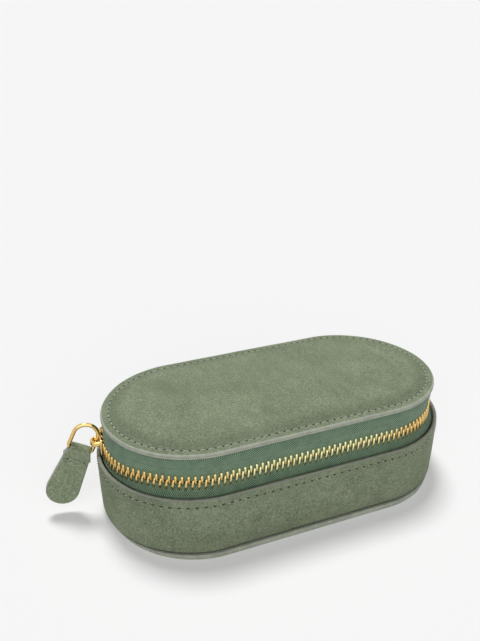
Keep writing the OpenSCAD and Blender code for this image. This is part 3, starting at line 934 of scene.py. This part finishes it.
class JEWELRYCASE_OT_lid_panel(Operator):
    """Lid of two glued leathers: stitched margin, padded middle and painted edge"""

    bl_idname = "jewelry_case.lid_panel"
    bl_label = "Lid panel"

    def execute(self, context):
        s = sizes()
        margin_z, seam_z = LID_TOP - 0.6 * MM, LID_SEAM - 0.45 * MM
        row, inner = LID_R - s.lid_inset, LID_R - 3 * MM
        sunk_z = margin_z - 0.16 * MM
        crown = [(0, 1), (7, 1), (14, 0.99), (18, 0.975), (20.3, 0.94), (21.8, 0.89), (23, 0.8), (24, 0.67),
                 (24.9, 0.5), (25.7, 0.31), (26.2, 0.19), (26.7, 0.08)]
        outline = [(r * MM, margin_z + s.crown * lift) for r, lift in crown]
        outline += [(row, sunk_z), *near(row, margin_z, (0.4, 0), (0.9, 0.05))]
        outline += rounded([(row + 1.3 * MM, margin_z, 0), (LID_R, margin_z, 0.9),
                            (LID_R, LID_SEAM, 0)], 7)[1:-1]
        outline += near(LID_R, seam_z, (0, 0.05), (-0.16, -0.08))
        outline += rounded([(LID_R - 0.1 * MM, seam_z, 0), (LID_R - 0.12 * MM, LID_UNDER, 0.25),
                            (inner, LID_UNDER, 0)])[1:]
        lid = sweep_oval("lid_panel", [*outline, (0, LID_UNDER)], closed=False)
        unevenness(lid, depth=0.1, grain=13, seed=8.2)
        step = stitch_step(row, s.lid_pitch)
        lay_along(lid, row, step, lambda point: LID_R - radius_of(point))
        paint_faces(
            lid,
            # Painted shade on the slope where the lid's crown falls to the stitches
            suede("lid suede", mottle=1.3, fall=0.36, seam=(s.lid_inset / MM, s.lid_pitch / MM, 0.42, 0.8)),
            (painted_edge("painted lid edge", first=seam_z, second=LID_SEAM + 0.2 * MM, tint=1.05),
             lambda f: abs(f.normal.z) < 0.93 and radius_of(f.center) > LID_R - 0.9 * MM),
            # Painted shade: the core layer's edge is a darker copy of the edge paint, for the shadow under
            # the lid
            (painted_edge("painted core edge", tint=0.55),
             lambda f: f.center.z < seam_z and (radius_of(f.center) > LID_R - MM or f.normal.z < -0.5)),
        )
        finish_piece(hang_ends(lid), "lid", "suede", ["lid_top_leather", "lid_core_leather", "lid_padding"])
        hang_ends(sew_round("lid_stitches", "lid", row, step, row, sunk_z))
        return {"FINISHED"}


# ---------------------------------------------------------------- zip

ZIP_LENGTH = oval_length(TAPE_MID_R) - 2 * TAPE_END
SLIDER_S = HALF - TAPE_END + (SLIDER_ANGLE - pi / 2) * TAPE_MID_R
STOP_INSET = STOP_END + STOP_W / 2
FIRST_TOOTH = STOP_INSET + STOP_W / 2 + TOOTH_W

# Where along the zip the rows stand apart and meshed: at the slider, and before the last stops
APART, MESHED = SLIDER_S - 1.6 * MM, SLIDER_S + 0.8 * MM
STOP_APART = ZIP_LENGTH - FIRST_TOOTH + TOOTH_W / 2
STOP_MESHED = STOP_APART - 2.5 * MM

# How far the chain hangs out and down round the left end, and the angles in degrees from which
# it does so, and fully so, at the back and at the front
CHAIN_OUT, CHAIN_DOWN = 1.1 * MM, 0.9 * MM
HANG_BACK, HANG_FRONT = (100, 135), (232, 190)


def spread(along):
    """How far a row stands back from the zip's centre line: behind the slider and at the stops."""
    return OPEN_GAP * max(ramp(along, MESHED, APART), ramp(along, STOP_MESHED, STOP_APART))


def hang_out(point, share=1.0):
    """Moves a point with the chain, which the slider and its ring pull out and down a little."""
    if point.x >= -HALF:
        return
    angle = degrees(atan2(point.y, point.x + HALF)) % 360
    hang = share * ramp(angle, *HANG_FRONT) * ramp(angle, *HANG_BACK)
    reach = 1 + CHAIN_OUT * hang / hypot(point.x + HALF, point.y)
    point.x = -HALF + (point.x + HALF) * reach
    point.y *= reach
    point.z -= CHAIN_DOWN * hang


def zip_place(along, side):
    """Place of a tooth: X outwards, Y along the zip, Z away from the other row."""
    point, angle = oval_point(along + TAPE_END, TAPE_MID_R, TAPE_MID_R)
    point.z = ZIP_Z + side * spread(along)
    hang_out(point)
    return Matrix.Translation(point) @ Matrix.Rotation(angle, 4, "Z") @ Matrix.Scale(side, 4, (0, 0, 1))


def make_tape(name, body, node, side, outline):
    """One tape: its outline is (radius, height above or below the zip's centre line)."""
    tape = sweep_oval(name, [(r, ZIP_Z + side * z) for r, z in outline], reach=TAPE_END)
    lay_along(tape, TAPE_MID_R, MM, lambda point: abs(point.z - ZIP_Z))
    flat, loose = TAPE_EDGE + 5.5 * MM, 2.5 * MM
    firm = 8.5 * MM if side > 0 else 4.8 * MM

    def move(point):
        off = abs(point.z - ZIP_Z)
        along = along_oval(point, TAPE_MID_R) - TAPE_END
        point.z += side * spread(along) * ramp(off, flat, TAPE_EDGE)
        hang_out(point, ramp(off, firm, loose))
    reshape(tape, move)
    unevenness(tape, depth=0.05, grain=6, seed=1.3)
    finish_piece(tape, body, "tape", [node], zip_tape("zip tape"))


class JEWELRYCASE_OT_zip_tapes(Operator):
    """The two woven tapes, the upper one turned in under the lid"""

    bl_idname = "jewelry_case.zip_tapes"
    bl_label = "Zip tapes"

    def execute(self, context):
        inner, turn_in = TAPE_R - TAPE_T, 2.0 * MM
        top, edge = LID_UNDER - ZIP_Z, TAPE_GAP
        deep, fold = ZIP_Z - low("lower_zip_tape").z, ZIP_Z - high("wall_board").z
        lip = near(TAPE_R, edge, (-0.15, 0), (0, 0.25))

        bulge = [(b * MM, edge + share * (top - edge - 1.4 * MM))
                 for b, share in ((0.0, 0.2), (0.2, 0.4), (0.5, 0.6), (0.72, 0.8))]
        outer = [*lip, *((TAPE_R + b, z) for b, z in bulge), *near(TAPE_R, top, (0.6, -0.9), (0.1, -0.05))]
        back = [*near(inner - turn_in, top, (0, -0.05)), (inner - turn_in, top - TAPE_T),
                *near(inner, top - TAPE_T, (0, -0.2)), *((inner + 0.8 * b, z) for b, z in reversed(bulge)),
                *near(inner, edge, (0.15, 0))]
        make_tape("upper_tape", "lid", "upper_zip_tape", 1, outer + back)

        slope = [(0.0, 1.4), (0.12, 1.9), (0.35, 2.4), (0.6, 2.9), (0.85, 3.3), (1.15, 3.6), (1.5, 3.9),
                 (1.85, 4.2)]
        outer = [*lip, *near(TAPE_R, 0, *slope),
                 *near(TAPE_R, fold, (2.05, -0.5), (1.9, -0.15), (0.2, -0.1), (0, 0.1)), (TAPE_R, deep)]
        back = [(inner, deep), *near(inner, fold, (0, -0.5), (0.2, -0.62), (1.8, -0.6)),
                *near(inner, 0, *reversed(slope)), *near(inner, edge, (0, 0.25), (0.15, 0))]
        make_tape("lower_tape", "base", "lower_zip_tape", -1, outer + back)
        return {"FINISHED"}


def make_tooth(width, reach, leg, lean):
    """A tooth or stop for the upper row: a rounded head, and two legs that clamp the tape."""
    depth, slot, round_off = TOOTH_DEPTH / 2, TAPE_T / 2 + 0.02 * MM, 0.28 * MM
    top = TAPE_EDGE + leg
    side = [(slot, top), (depth - round_off, top), (depth, top - round_off), (depth, TAPE_EDGE),
            *near(depth, 0, (-0.05, -0.1)), *near(depth, -reach, (-0.3, 0))]
    outline = mirrored(side) + [(-slot, TAPE_EDGE), (slot, TAPE_EDGE)]
    tooth = prism("tooth", [(x, -width / 2, z) for x, z in outline], (0, width, 0))

    def move(point):
        head = ramp(point.z, TAPE_EDGE, -reach)
        point.y = point.y * (1 - 0.22 * head) + lean * head
    reshape(tooth, move)
    bevel(tooth, 0.13, 1, 50)
    return tooth


class JEWELRYCASE_OT_zip_teeth(Operator):
    """The two rows of metal teeth and the stops at their ends"""

    bl_idname = "jewelry_case.zip_teeth"
    bl_label = "Zip teeth"

    def execute(self, context):
        c, s = colours(), sizes()
        # The slider's gold is the deeper tone of the teeth's painted darker reflection at the ends
        skin = gold("zip gold", c.teeth, 0.24, 0.4, c.gold)
        count = int((ZIP_LENGTH - 2 * FIRST_TOOTH) / TOOTH_PITCH)
        for side, row, body, leg, lean, shift in (
            (1, "upper", "lid", 1.45 * MM, s.upper_lean, 0),
            (-1, "lower", "base", 1.75 * MM, s.lower_lean, TOOTH_PITCH / 2),
        ):
            starts = [FIRST_TOOTH + shift + i * TOOTH_PITCH for i in range(count)]
            tooth = make_tooth(TOOTH_W, TOOTH_REACH, leg, lean)
            teeth = place_copies(row + "_teeth_row", tooth, [zip_place(a, side) for a in starts])
            stop = make_tooth(STOP_W, -0.05 * MM, 2.0 * MM, 0)
            ends = (STOP_INSET, ZIP_LENGTH - STOP_INSET)
            stops = place_copies(row + "_stops", stop, [zip_place(a, side) for a in ends])
            for piece, node in ((teeth, row + "_zip_teeth"), (stops, row + "_end_stops")):
                pick(piece)
                bpy.ops.object.mode_set(mode="EDIT")
                face_outwards()
                finish_piece(piece, body, "teeth", [node], skin)
        return {"FINISHED"}


class JEWELRYCASE_OT_leather_hinge(Operator):
    """Leather that joins the lid to the base at the back"""

    bl_idname = "jewelry_case.leather_hinge"
    bl_label = "Leather hinge"

    def execute(self, context):
        bottom, top, levels = low("leather_hinge").z, high("leather_hinge").z, 20
        heights = [bottom + (top - bottom) * k / levels for k in range(levels + 1)]
        bow, sunk = 0.35 * MM, 0.1 * MM
        out = [(TAPE_R + bow * max(0.0, cos((z - ZIP_Z) / (top - ZIP_Z) * pi / 2)), z) for z in heights]
        outline = [(TAPE_R - TAPE_T, bottom), *out, (TAPE_R - TAPE_T, top)]
        outline += [(r - TAPE_T, z) for r, z in reversed(out[1:-1])]
        hinge = new_piece("back_hinge")
        draw_chain([(-HINGE_HALF, r, z) for r, z in outline])
        extrude((2 * HINGE_HALF, 0, 0), 24)
        tongue = near(0, 0, (1.7, -0.3), (1.65, 2.9), (0.7, 3.3), (0.35, 4.2))
        for end in (-1, 1):
            bpy.ops.mesh.select_all(action="DESELECT")
            draw_chain([(end * (HINGE_HALF + x), TAPE_R - sunk, ZIP_Z + z) for z, x in mirrored(tongue)])
            bpy.ops.mesh.edge_face_add()
            extrude((0, 2 * sunk - TAPE_T, 0))
        close_up()
        unevenness(hinge, depth=0.05, grain=9, seed=5.1)
        paint_faces(hinge, suede("hinge suede", tint=0.92, mottle=0.8),
                    (painted_edge("painted hinge edge", tint=0.9), lambda f: abs(f.normal.x) > 0.7))
        smooth(hinge)
        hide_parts("leather_hinge")
        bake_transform(hinge)
        return {"FINISHED"}


# ---------------------------------------------------------------- slider, ring and tab

PLATE_T = 0.7 * MM
PLATE_OUT = TAPE_MID_R + TOOTH_DEPTH / 2 + CHAIN_OUT
PLATE_IN = TAPE_MID_R - TOOTH_DEPTH / 2 - 0.1 * MM
SLIDER_LEN = 9.4 * MM
SLIDER_REAR = 3.0 * MM
SLIDER_NOSE = 3.5 * MM
SLIDER_DOWN = Vector((0, 0, -0.45 * CHAIN_DOWN))
SLIDER_PLACE = Matrix.Translation(SLIDER_PIVOT + SLIDER_DOWN) @ Matrix.Rotation(SLIDER_ANGLE, 4, "Z")


def bend_round(piece):
    """Bends a piece drawn flat, X outwards and Y along the zip, round the case's end."""
    def move(point):
        radius, angle = point.x, point.y / TAPE_MID_R
        point.x, point.y = radius * cos(angle), radius * sin(angle)
    return reshape(piece, move)


def slider_plate(name, inner, nose):
    """A plate of the slider with rounded corners and edges, bent round the case's end."""
    half, cuts = SLIDER_LEN / 2, 12
    corners = [(half, SLIDER_REAR, 1.0), (0.3 * MM, SLIDER_REAR, 1.5), (1.6 * MM - half, nose, 1.0),
               (-half, nose * 0.62, 0.8)]
    corners += [(y, -z, rounding) for y, z, rounding in reversed(corners)]
    plate = prism(name, [(inner, y, z) for y, z in rounded(corners, 5)], (PLATE_T, 0, 0))
    bevel(plate, 0.24, 3, 50)
    bpy.ops.object.mode_set(mode="EDIT")
    for k in range(1, cuts):
        bpy.ops.mesh.select_all(action="SELECT")
        bpy.ops.mesh.bisect(plane_co=(0, -half + SLIDER_LEN * k / cuts, 0), plane_no=(0, 1, 0))
    bpy.ops.object.mode_set(mode="OBJECT")
    return bend_round(plate)


def block(a, b, rounding):
    """A box between two corners with rounded edges."""
    corners = ((a[1], a[2]), (b[1], a[2]), (b[1], b[2]), (a[1], b[2]))
    piece = prism("block", [(a[0], y, z) for y, z in corners], (b[0] - a[0], 0, 0))
    bevel(piece, rounding, 2, 30)
    return piece


def finish_slider(piece, node, sharp):
    """Sets a piece of the slider in its place and finishes it."""
    settle(piece, SLIDER_PLACE)
    finish_piece(piece, "slider", "gold", [node], gold("slider gold", colours().gold), sharp=sharp)


class JEWELRYCASE_OT_slider(Operator):
    """Zip slider: two plates, the post and lips between them, and the bail"""

    bl_idname = "jewelry_case.slider"
    bl_label = "Slider"

    def execute(self, context):
        half, lip, sunk, post = SLIDER_LEN / 2, 0.5 * MM, 0.3 * MM, 0.7 * MM
        parts = [
            slider_plate("outer_plate", PLATE_OUT, SLIDER_NOSE),
            slider_plate("inner_plate", PLATE_IN - PLATE_T, SLIDER_REAR),
            block((PLATE_IN - sunk, 0.5 * MM - half, -post), (PLATE_OUT + sunk, -1.9 * MM, post), 0.2),
        ]
        for start, end in ((PLATE_OUT - lip, PLATE_OUT + sunk), (PLATE_IN - sunk, PLATE_IN + lip)):
            rail = block((start, 0.4 * MM, 0.02 * MM - SLIDER_REAR),
                         (end, half - 1.2 * MM, 0.65 * MM - SLIDER_REAR), 0.12)
            parts.append(bend_round(rail))
        finish_slider(join("zip_slider", *parts), "slider_body", 40)

        face = PLATE_OUT + PLATE_T
        foot, inside, outside, wide = face - 0.35 * MM, 1.3 * MM, 2.3 * MM, 0.9 * MM
        centre = face + 2.2 * MM - inside
        section = rounded([(inside, -wide, 0.35), (outside, -wide, 0.42), (outside, wide, 0.42),
                           (inside, wide, 0.35)])
        bail = new_piece("slider_bail_arch")
        draw_chain([(foot, y, z) for y, z in section])
        extrude((centre - foot, 0, 0), 2)
        spin(-pi, (centre, 0, 0), steps=20)
        extrude((foot - centre, 0, 0), 2)
        close_up()
        finish_slider(bail, "slider_bail", 50)
        return {"FINISHED"}


RING_W = 8.2 * MM
RING_DROP = (BAR - EYE).dot(-RING_UP)
RING_TURN = Matrix((RING_ALONG, RING_UP.cross(RING_ALONG), RING_UP)).transposed().to_4x4()
RING_PLACE = Matrix.Translation(EYE) @ RING_TURN
TAB_PLACE = RING_PLACE @ Matrix.Translation(((BAR - EYE).dot(RING_ALONG), 0, -RING_DROP))


class JEWELRYCASE_OT_pull_ring(Operator):
    """Polished ring with a round top and a straight bar for the tab"""

    bl_idname = "jewelry_case.pull_ring"
    bl_label = "Pull ring"

    def execute(self, context):
        wire, rise, corner = 0.7 * MM, 0.8 * MM, 1.2 * MM
        low_z = corner - RING_DROP
        ring = new_piece("gold_ring")
        bpy.ops.mesh.primitive_circle_add(
            vertices=sizes().wire_sides, radius=wire, calc_uvs=False, location=(0, 0, low_z)
        )
        extrude((0, 0, rise - low_z), 3)
        spin(pi, (RING_W / 2, 0, rise), axis=(0, 1, 0), steps=30)
        extrude((0, 0, low_z - rise), 3)
        spin(pi / 2, (RING_W - corner, 0, low_z), axis=(0, 1, 0), steps=8)
        extrude((2 * corner - RING_W, 0, 0), 4)
        spin(pi / 2, (corner, 0, low_z), axis=(0, 1, 0), steps=8)
        close_up()
        settle(ring, RING_PLACE)
        skin = gold("polished gold", colours().gold, 0.06, 0.15)
        finish_piece(ring, "ring", "gold", ["pull_ring"], skin, sharp=60)
        return {"FINISHED"}


class JEWELRYCASE_OT_pull_tab(Operator):
    """Leather tab folded round the ring's bar, sewn below the fold, with painted edges"""

    bl_idname = "jewelry_case.pull_tab"
    bl_label = "Pull tab"

    def execute(self, context):
        layer, bore, loop_half = 1.2 * MM, 0.8 * MM, 3.2 * MM
        end_r, tab_len, ear, neck = 5.66 * MM, 22.4 * MM, 4.4 * MM, 4.5 * MM
        drop, row, wide = 2.8 * MM, 1.25, 5.6
        end_z = end_r - tab_len
        reach = Vector((neck, -drop - MM - end_z))
        turn = degrees(atan2(reach.y, reach.x) - acos(end_r / reach.length))
        side = near(ear, -drop, (-0.3, 0.1), (0, -0.15)) + [(neck, -drop - MM)]
        side += arc(0, end_z, end_r, turn, -90, 14)
        tab = new_piece("leather_tab")
        draw_chain([(x, -layer, z) for x, z in mirrored(side)])
        bpy.ops.mesh.edge_face_add()
        bpy.ops.mesh.inset(thickness=0.9 * MM, depth=0)
        bpy.ops.mesh.select_all(action="SELECT")
        extrude((0, 2 * layer, 0), 4)
        close_up()
        bevel(tab, 0.3, 3)

        flank = [*near(layer, -bore, (0.2, -0.9)), *near(layer, -drop, (0.32, -0.4)),
                 *near(0, -drop, (0.02, -0.4)), *near(0, -bore, (0.02, -0.15))]
        section = arc(0, 0, bore + layer - 0.12 * MM, 0, 180, 12) + [(-y, z) for y, z in flank]
        section += arc(0, 0, bore, 180, 0, 12) + flank[::-1]
        strap = prism("loop", [(-loop_half, y, z) for y, z in section], (2 * loop_half, 0, 0), 6)
        bevel(strap, 0.2, 2)

        loop_top, loop_height, widening = 2.0 * MM, drop + 2.4 * MM, 0.53

        def widen(point):
            below = min(1.0, max(0.0, (loop_top - point.z) / loop_height))
            point.x *= 1 + widening * below ** 1.3
        join("leather_tab", tab, reshape(strap, widen))
        layer_map = tab.data.uv_layers.new(name="Along")
        for face in tab.data.polygons:
            for loop, v in zip(face.loop_indices, face.vertices):
                place = tab.data.vertices[v].co / MM
                layer_map.data[loop].uv = (place.x / wide + 0.5, -place.z - drop / MM)
        paint_faces(
            tab,
            suede("tab suede", tint=1.12, mottle=0.8, seam=(row, wide, 0.42, 0.8)),
            (painted_edge("painted tab edge", tint=0.8), lambda f: abs(f.normal.y) < 0.62 and
             (f.center.z < -drop + 0.3 * MM or abs(f.normal.x) > 0.6)),
        )
        settle(tab, TAB_PLACE)
        unevenness(tab, depth=0.05, grain=4, seed=6.6)
        finish_piece(tab, "tab", "suede", ["pull_tab"])
        long = Matrix.Scale(5.0 * MM / sizes().stitch_length, 4, (1, 0, 0))
        sew("tab_stitches", [
            TAB_PLACE @ Matrix.Translation((0, face * layer, -drop - row * MM))
            @ Matrix.Rotation(-face * pi / 2, 4, "X") @ long for face in (-1, 1)
        ], "tab")
        return {"FINISHED"}


# ---------------------------------------------------------------- inside

def lining_band(name, bottom, top):
    """A lining round the inside of the wall or the lid, with turned edges."""
    inner, turned = LINING_R - LINING_T, 0.36
    outline = rounded([(inner, bottom, turned), (LINING_R, bottom, turned), (LINING_R, top, turned),
                       (inner, top, turned)])
    return sweep_oval(name, outline + [(inner, bottom + (top - bottom) * k / 5) for k in (4, 3, 2, 1)])


def lining_pad(name, face, back, crown):
    """A padded lining of the floor or the lid's underside, from its face to its back, whose
    middle stands out by its crown."""
    radius = LINING_R - LINING_T - LINING_GAP
    edge = copysign(0.3 * MM, crown)
    margin = face - crown
    rows = [(0, 1.0), (9 * MM, 1.0), (17 * MM, 0.96), (22 * MM, 0.8), (radius - 2.6 * MM, 0.5),
            (radius - 1.1 * MM, 0.0)]
    outline = [(r, margin + crown * lift) for r, lift in rows]
    outline += [(radius - 0.3 * MM, margin - edge * 0.2), (radius, margin - edge), (radius, back), (0, back)]
    return sweep_oval(name, outline, closed=False)


class JEWELRYCASE_OT_linings(Operator):
    """Linings of the base and the lid, with soft turned edges"""

    bl_idname = "jewelry_case.linings"
    bl_label = "Linings"

    def execute(self, context):
        walls = lining_band("wall_lining_cloth", BOARD_Z, LINING_TOP)
        sides = lining_band("lid_side_cloth", low("lid_side_lining").z, LID_BOARD_Z)
        floor = lining_pad("floor_pad", high("floor_lining").z, BOARD_Z, 0.12 * MM)
        ceiling = lining_pad("lid_pad", low("lid_lining").z, LID_BOARD_Z, -0.3 * MM)
        unevenness(walls, depth=0.05, grain=9, seed=2.2)
        unevenness(floor, depth=0.04, grain=8, seed=4.4)
        unevenness(ceiling, depth=0.05, grain=9, seed=7.7)
        for piece, body, node, fill in (
            (walls, "base", "wall_lining", None), (sides, "lid", "lid_side_lining", 0.5),
            (floor, "base", "floor_lining", 0.4), (ceiling, "lid", "lid_lining", 0.5),
        ):
            finish_piece(piece, body, "lining", [node], soft_lining("lining"))
        return {"FINISHED"}


class JEWELRYCASE_OT_dividers(Operator):
    """Two dividers wrapped in suedette"""

    bl_idname = "jewelry_case.dividers"
    bl_label = "Dividers"

    def execute(self, context):
        for side in ("left", "right"):
            node = side + "_divider"
            a, b = low(node), high(node)
            top = (b.x - a.x) / 2 * 0.98 / MM
            section = rounded([(a.x, a.z, 0), (b.x, a.z, 0), (b.x, b.z, top), (a.x, b.z, top)], 6)
            piece = prism(side + "_wall", [(x, a.y, z) for x, z in section], (0, b.y - a.y, 0), 20)
            bevel(piece, 0.35, 3)
            unevenness(piece, depth=0.06, grain=8, seed=(a.x + b.x) / 2 / MM)
            finish_piece(piece, "base", "lining", [node], soft_lining("divider suedette", 0.95))
        return {"FINISHED"}


class JEWELRYCASE_OT_ring_rolls(Operator):
    """Four padded rolls that hold rings between them"""

    bl_idname = "jewelry_case.ring_rolls"
    bl_label = "Ring rolls"

    def execute(self, context):
        for i in range(1, 5):
            node = f"ring_roll_{i}"
            a, b = low(node), high(node)
            half, middle = (b.x - a.x) / 2, (a.x + b.x) / 2
            top_r = half * 0.96
            base = b.z - top_r
            waist = a.z + (base - a.z) * 0.3
            foot_r, waist_r = half * 0.92, half * 0.985
            section = [(middle - foot_r, a.z), (middle + foot_r, a.z), (middle + waist_r, waist)]
            section += arc(middle, base, top_r, 0, 180, 14) + [(middle - waist_r, waist)]
            roll = prism(f"ring_pad_{i}", [(x, a.y, z) for x, z in section], (0, b.y - a.y, 0), 36)
            bevel(roll, 0.9, 4)

            def sag(point):
                end = min(point.y - a.y, b.y - point.y)
                point.z -= 0.45 * MM * ramp(end, 5 * MM, 0) * ramp(point.z, a.z, b.z)
            reshape(roll, sag)
            unevenness(roll, depth=0.12, grain=7, seed=i * 3.1)
            finish_piece(roll, "base", "lining", [node], soft_lining("ring roll suedette", 1.03))
        return {"FINISHED"}


class JEWELRYCASE_OT_boards(Operator):
    """Finish of the boards that stay as the frame has them"""

    bl_idname = "jewelry_case.boards"
    bl_label = "Boards"

    def execute(self, context):
        for node in ("bottom_board", "lid_board"):
            paint_faces(frame["nodes"][node], stiff_board())
        a, b = low("wall_board"), high("wall_board")
        inner, foot_r = LINING_R + LINING_GAP, RIM_R - WALL_FLARE - WALL_T
        outline = [(inner, a.z), *near(foot_r, a.z, (-0.3, 0), (0, 0.6)),
                   *near(b.y, b.z, (0, -2), (0, -0.3), (-0.3, 0)), (inner, b.z)]
        board = draw_in(sweep_oval("wall_stiffener", outline))
        finish_piece(board, "base", "board", ["wall_board"], stiff_board(), sharp=40)
        return {"FINISHED"}


# ---------------------------------------------------------------- stage

# Where the camera stands, and how far it is turned about Z and tilted down, in degrees
CAMERA_PLACE = (-0.10176, -0.20859, 0.16992)
CAMERA_TURN, CAMERA_DOWN = -23.082, 24.492
FLOOR_RADIUS = 12.0
LIGHT_DISTANCE = 0.6


class JEWELRYCASE_OT_stage(Operator):
    """Pale floor, soft light and the camera"""

    bl_idname = "jewelry_case.stage"
    bl_label = "Stage"

    def execute(self, context):
        settings = context.scene.jewelry_case_stage
        tone = linear(colours().floor)
        pick()
        bpy.ops.mesh.primitive_circle_add(vertices=96, radius=FLOOR_RADIUS, fill_type="NGON")
        floor = context.object
        floor.name = "floor"
        made = bpy.data.materials.new("pale floor")
        made.use_nodes = True
        w, nodes = Wiring(made.node_tree), made.node_tree.nodes
        speck = w.noise(w.add("ShaderNodeTexCoord").outputs["Object"], 300.0)
        lit = nodes["Principled BSDF"]
        w.fill(lit, {"Base Color": w.blend(w.step(speck, 0.3, 0.7, 0.0, 0.01), tone, darker(tone, 0.97))})
        lit.inputs["Roughness"].default_value = 1.0
        lit.inputs["Specular IOR Level"].default_value = 0.0
        glow = w.fill(w.add("ShaderNodeEmission"), {"Color": tone})
        rays = w.add("ShaderNodeLightPath").outputs
        share = w.times(rays["Is Camera Ray"], settings.floor_glow)
        w.mix_shaders(share, lit.outputs[0], glow[0], nodes["Material Output"])
        floor.data.materials.append(made)

        world = bpy.data.worlds.new("studio")
        context.scene.world = world
        world.use_nodes = True
        w, nodes = Wiring(world.node_tree), world.node_tree.nodes
        rays = w.add("ShaderNodeLightPath").outputs
        shown = w.maths("MAXIMUM", rays["Is Glossy Ray"], rays["Is Transmission Ray"])
        shown = w.maths("MAXIMUM", rays["Is Camera Ray"], shown)
        seen = w.fill(w.add("ShaderNodeBackground"), {"Color": tone, "Strength": settings.backdrop})
        lit = w.fill(nodes["Background"], {"Color": (1.0, 1.0, 1.0, 1.0), "Strength": settings.sky})
        w.mix_shaders(shown, lit[0], seen[0], nodes["World Output"])

        for name, strength, width, direction in (
            ("key", settings.sun, settings.sun_angle, (0.02, 0.33, 1.0)),
            ("front", settings.front, settings.front_angle, (-0.3, -1.0, 0.55)),
        ):
            bpy.ops.object.light_add(type="SUN", location=Vector(direction) * LIGHT_DISTANCE)
            sun = context.object
            sun.name = name
            sun.data.energy = strength
            sun.data.angle = width
            sun.rotation_euler = Vector(direction).to_track_quat("Z", "Y").to_euler()

        bpy.ops.object.camera_add(location=CAMERA_PLACE)
        camera = context.object
        camera.name = "camera"
        camera.rotation_euler = (pi / 2 - radians(CAMERA_DOWN), 0, radians(CAMERA_TURN))
        camera.data.sensor_width = 36.0
        camera.data.lens = settings.lens
        camera.data.clip_start = 0.005
        camera.data.clip_end = 100.0
        context.scene.camera = camera
        context.scene.view_settings.view_transform = "Standard"
        return {"FINISHED"}


# ---------------------------------------------------------------- panel and registration

OPERATORS = (
    JEWELRYCASE_OT_stage,
    JEWELRYCASE_OT_sole,
    JEWELRYCASE_OT_wall,
    JEWELRYCASE_OT_lid_panel,
    JEWELRYCASE_OT_zip_tapes,
    JEWELRYCASE_OT_zip_teeth,
    JEWELRYCASE_OT_leather_hinge,
    JEWELRYCASE_OT_slider,
    JEWELRYCASE_OT_pull_ring,
    JEWELRYCASE_OT_pull_tab,
    JEWELRYCASE_OT_linings,
    JEWELRYCASE_OT_dividers,
    JEWELRYCASE_OT_ring_rolls,
    JEWELRYCASE_OT_boards,
)


class JEWELRYCASE_PT_panel(Panel):
    """Lists the pieces of the case with their settings"""

    bl_idname = "JEWELRYCASE_PT_panel"
    bl_label = "Jewelry Case"
    bl_space_type = "VIEW_3D"
    bl_region_type = "UI"
    bl_category = "Jewelry Case"

    def draw(self, context):
        scene = context.scene
        for group in (scene.jewelry_case_colours, scene.jewelry_case_sizes, scene.jewelry_case_stage):
            box = self.layout.box()
            for key in group.bl_rna.properties.keys():
                if key not in ("rna_type", "name"):
                    box.prop(group, key)
        for operator in OPERATORS:
            self.layout.operator(operator.bl_idname)


CLASSES = (CaseColours, CaseSizes, StageSettings, *OPERATORS, JEWELRYCASE_PT_panel)


def register():
    """Registers the settings, the operators and the panel."""
    for cls in CLASSES:
        bpy.utils.register_class(cls)
    bpy.types.Scene.jewelry_case_colours = PointerProperty(type=CaseColours)
    bpy.types.Scene.jewelry_case_sizes = PointerProperty(type=CaseSizes)
    bpy.types.Scene.jewelry_case_stage = PointerProperty(type=StageSettings)


def unregister():
    """Removes what register added."""
    del bpy.types.Scene.jewelry_case_stage
    del bpy.types.Scene.jewelry_case_sizes
    del bpy.types.Scene.jewelry_case_colours
    for cls in reversed(CLASSES):
        bpy.utils.unregister_class(cls)


def main():
    """Builds the whole case."""
    register()
    for operator in OPERATORS:
        space, action = operator.bl_idname.split(".")
        getattr(getattr(bpy.ops, space), action)()
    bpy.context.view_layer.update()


if __name__ == "__main__":
    main()
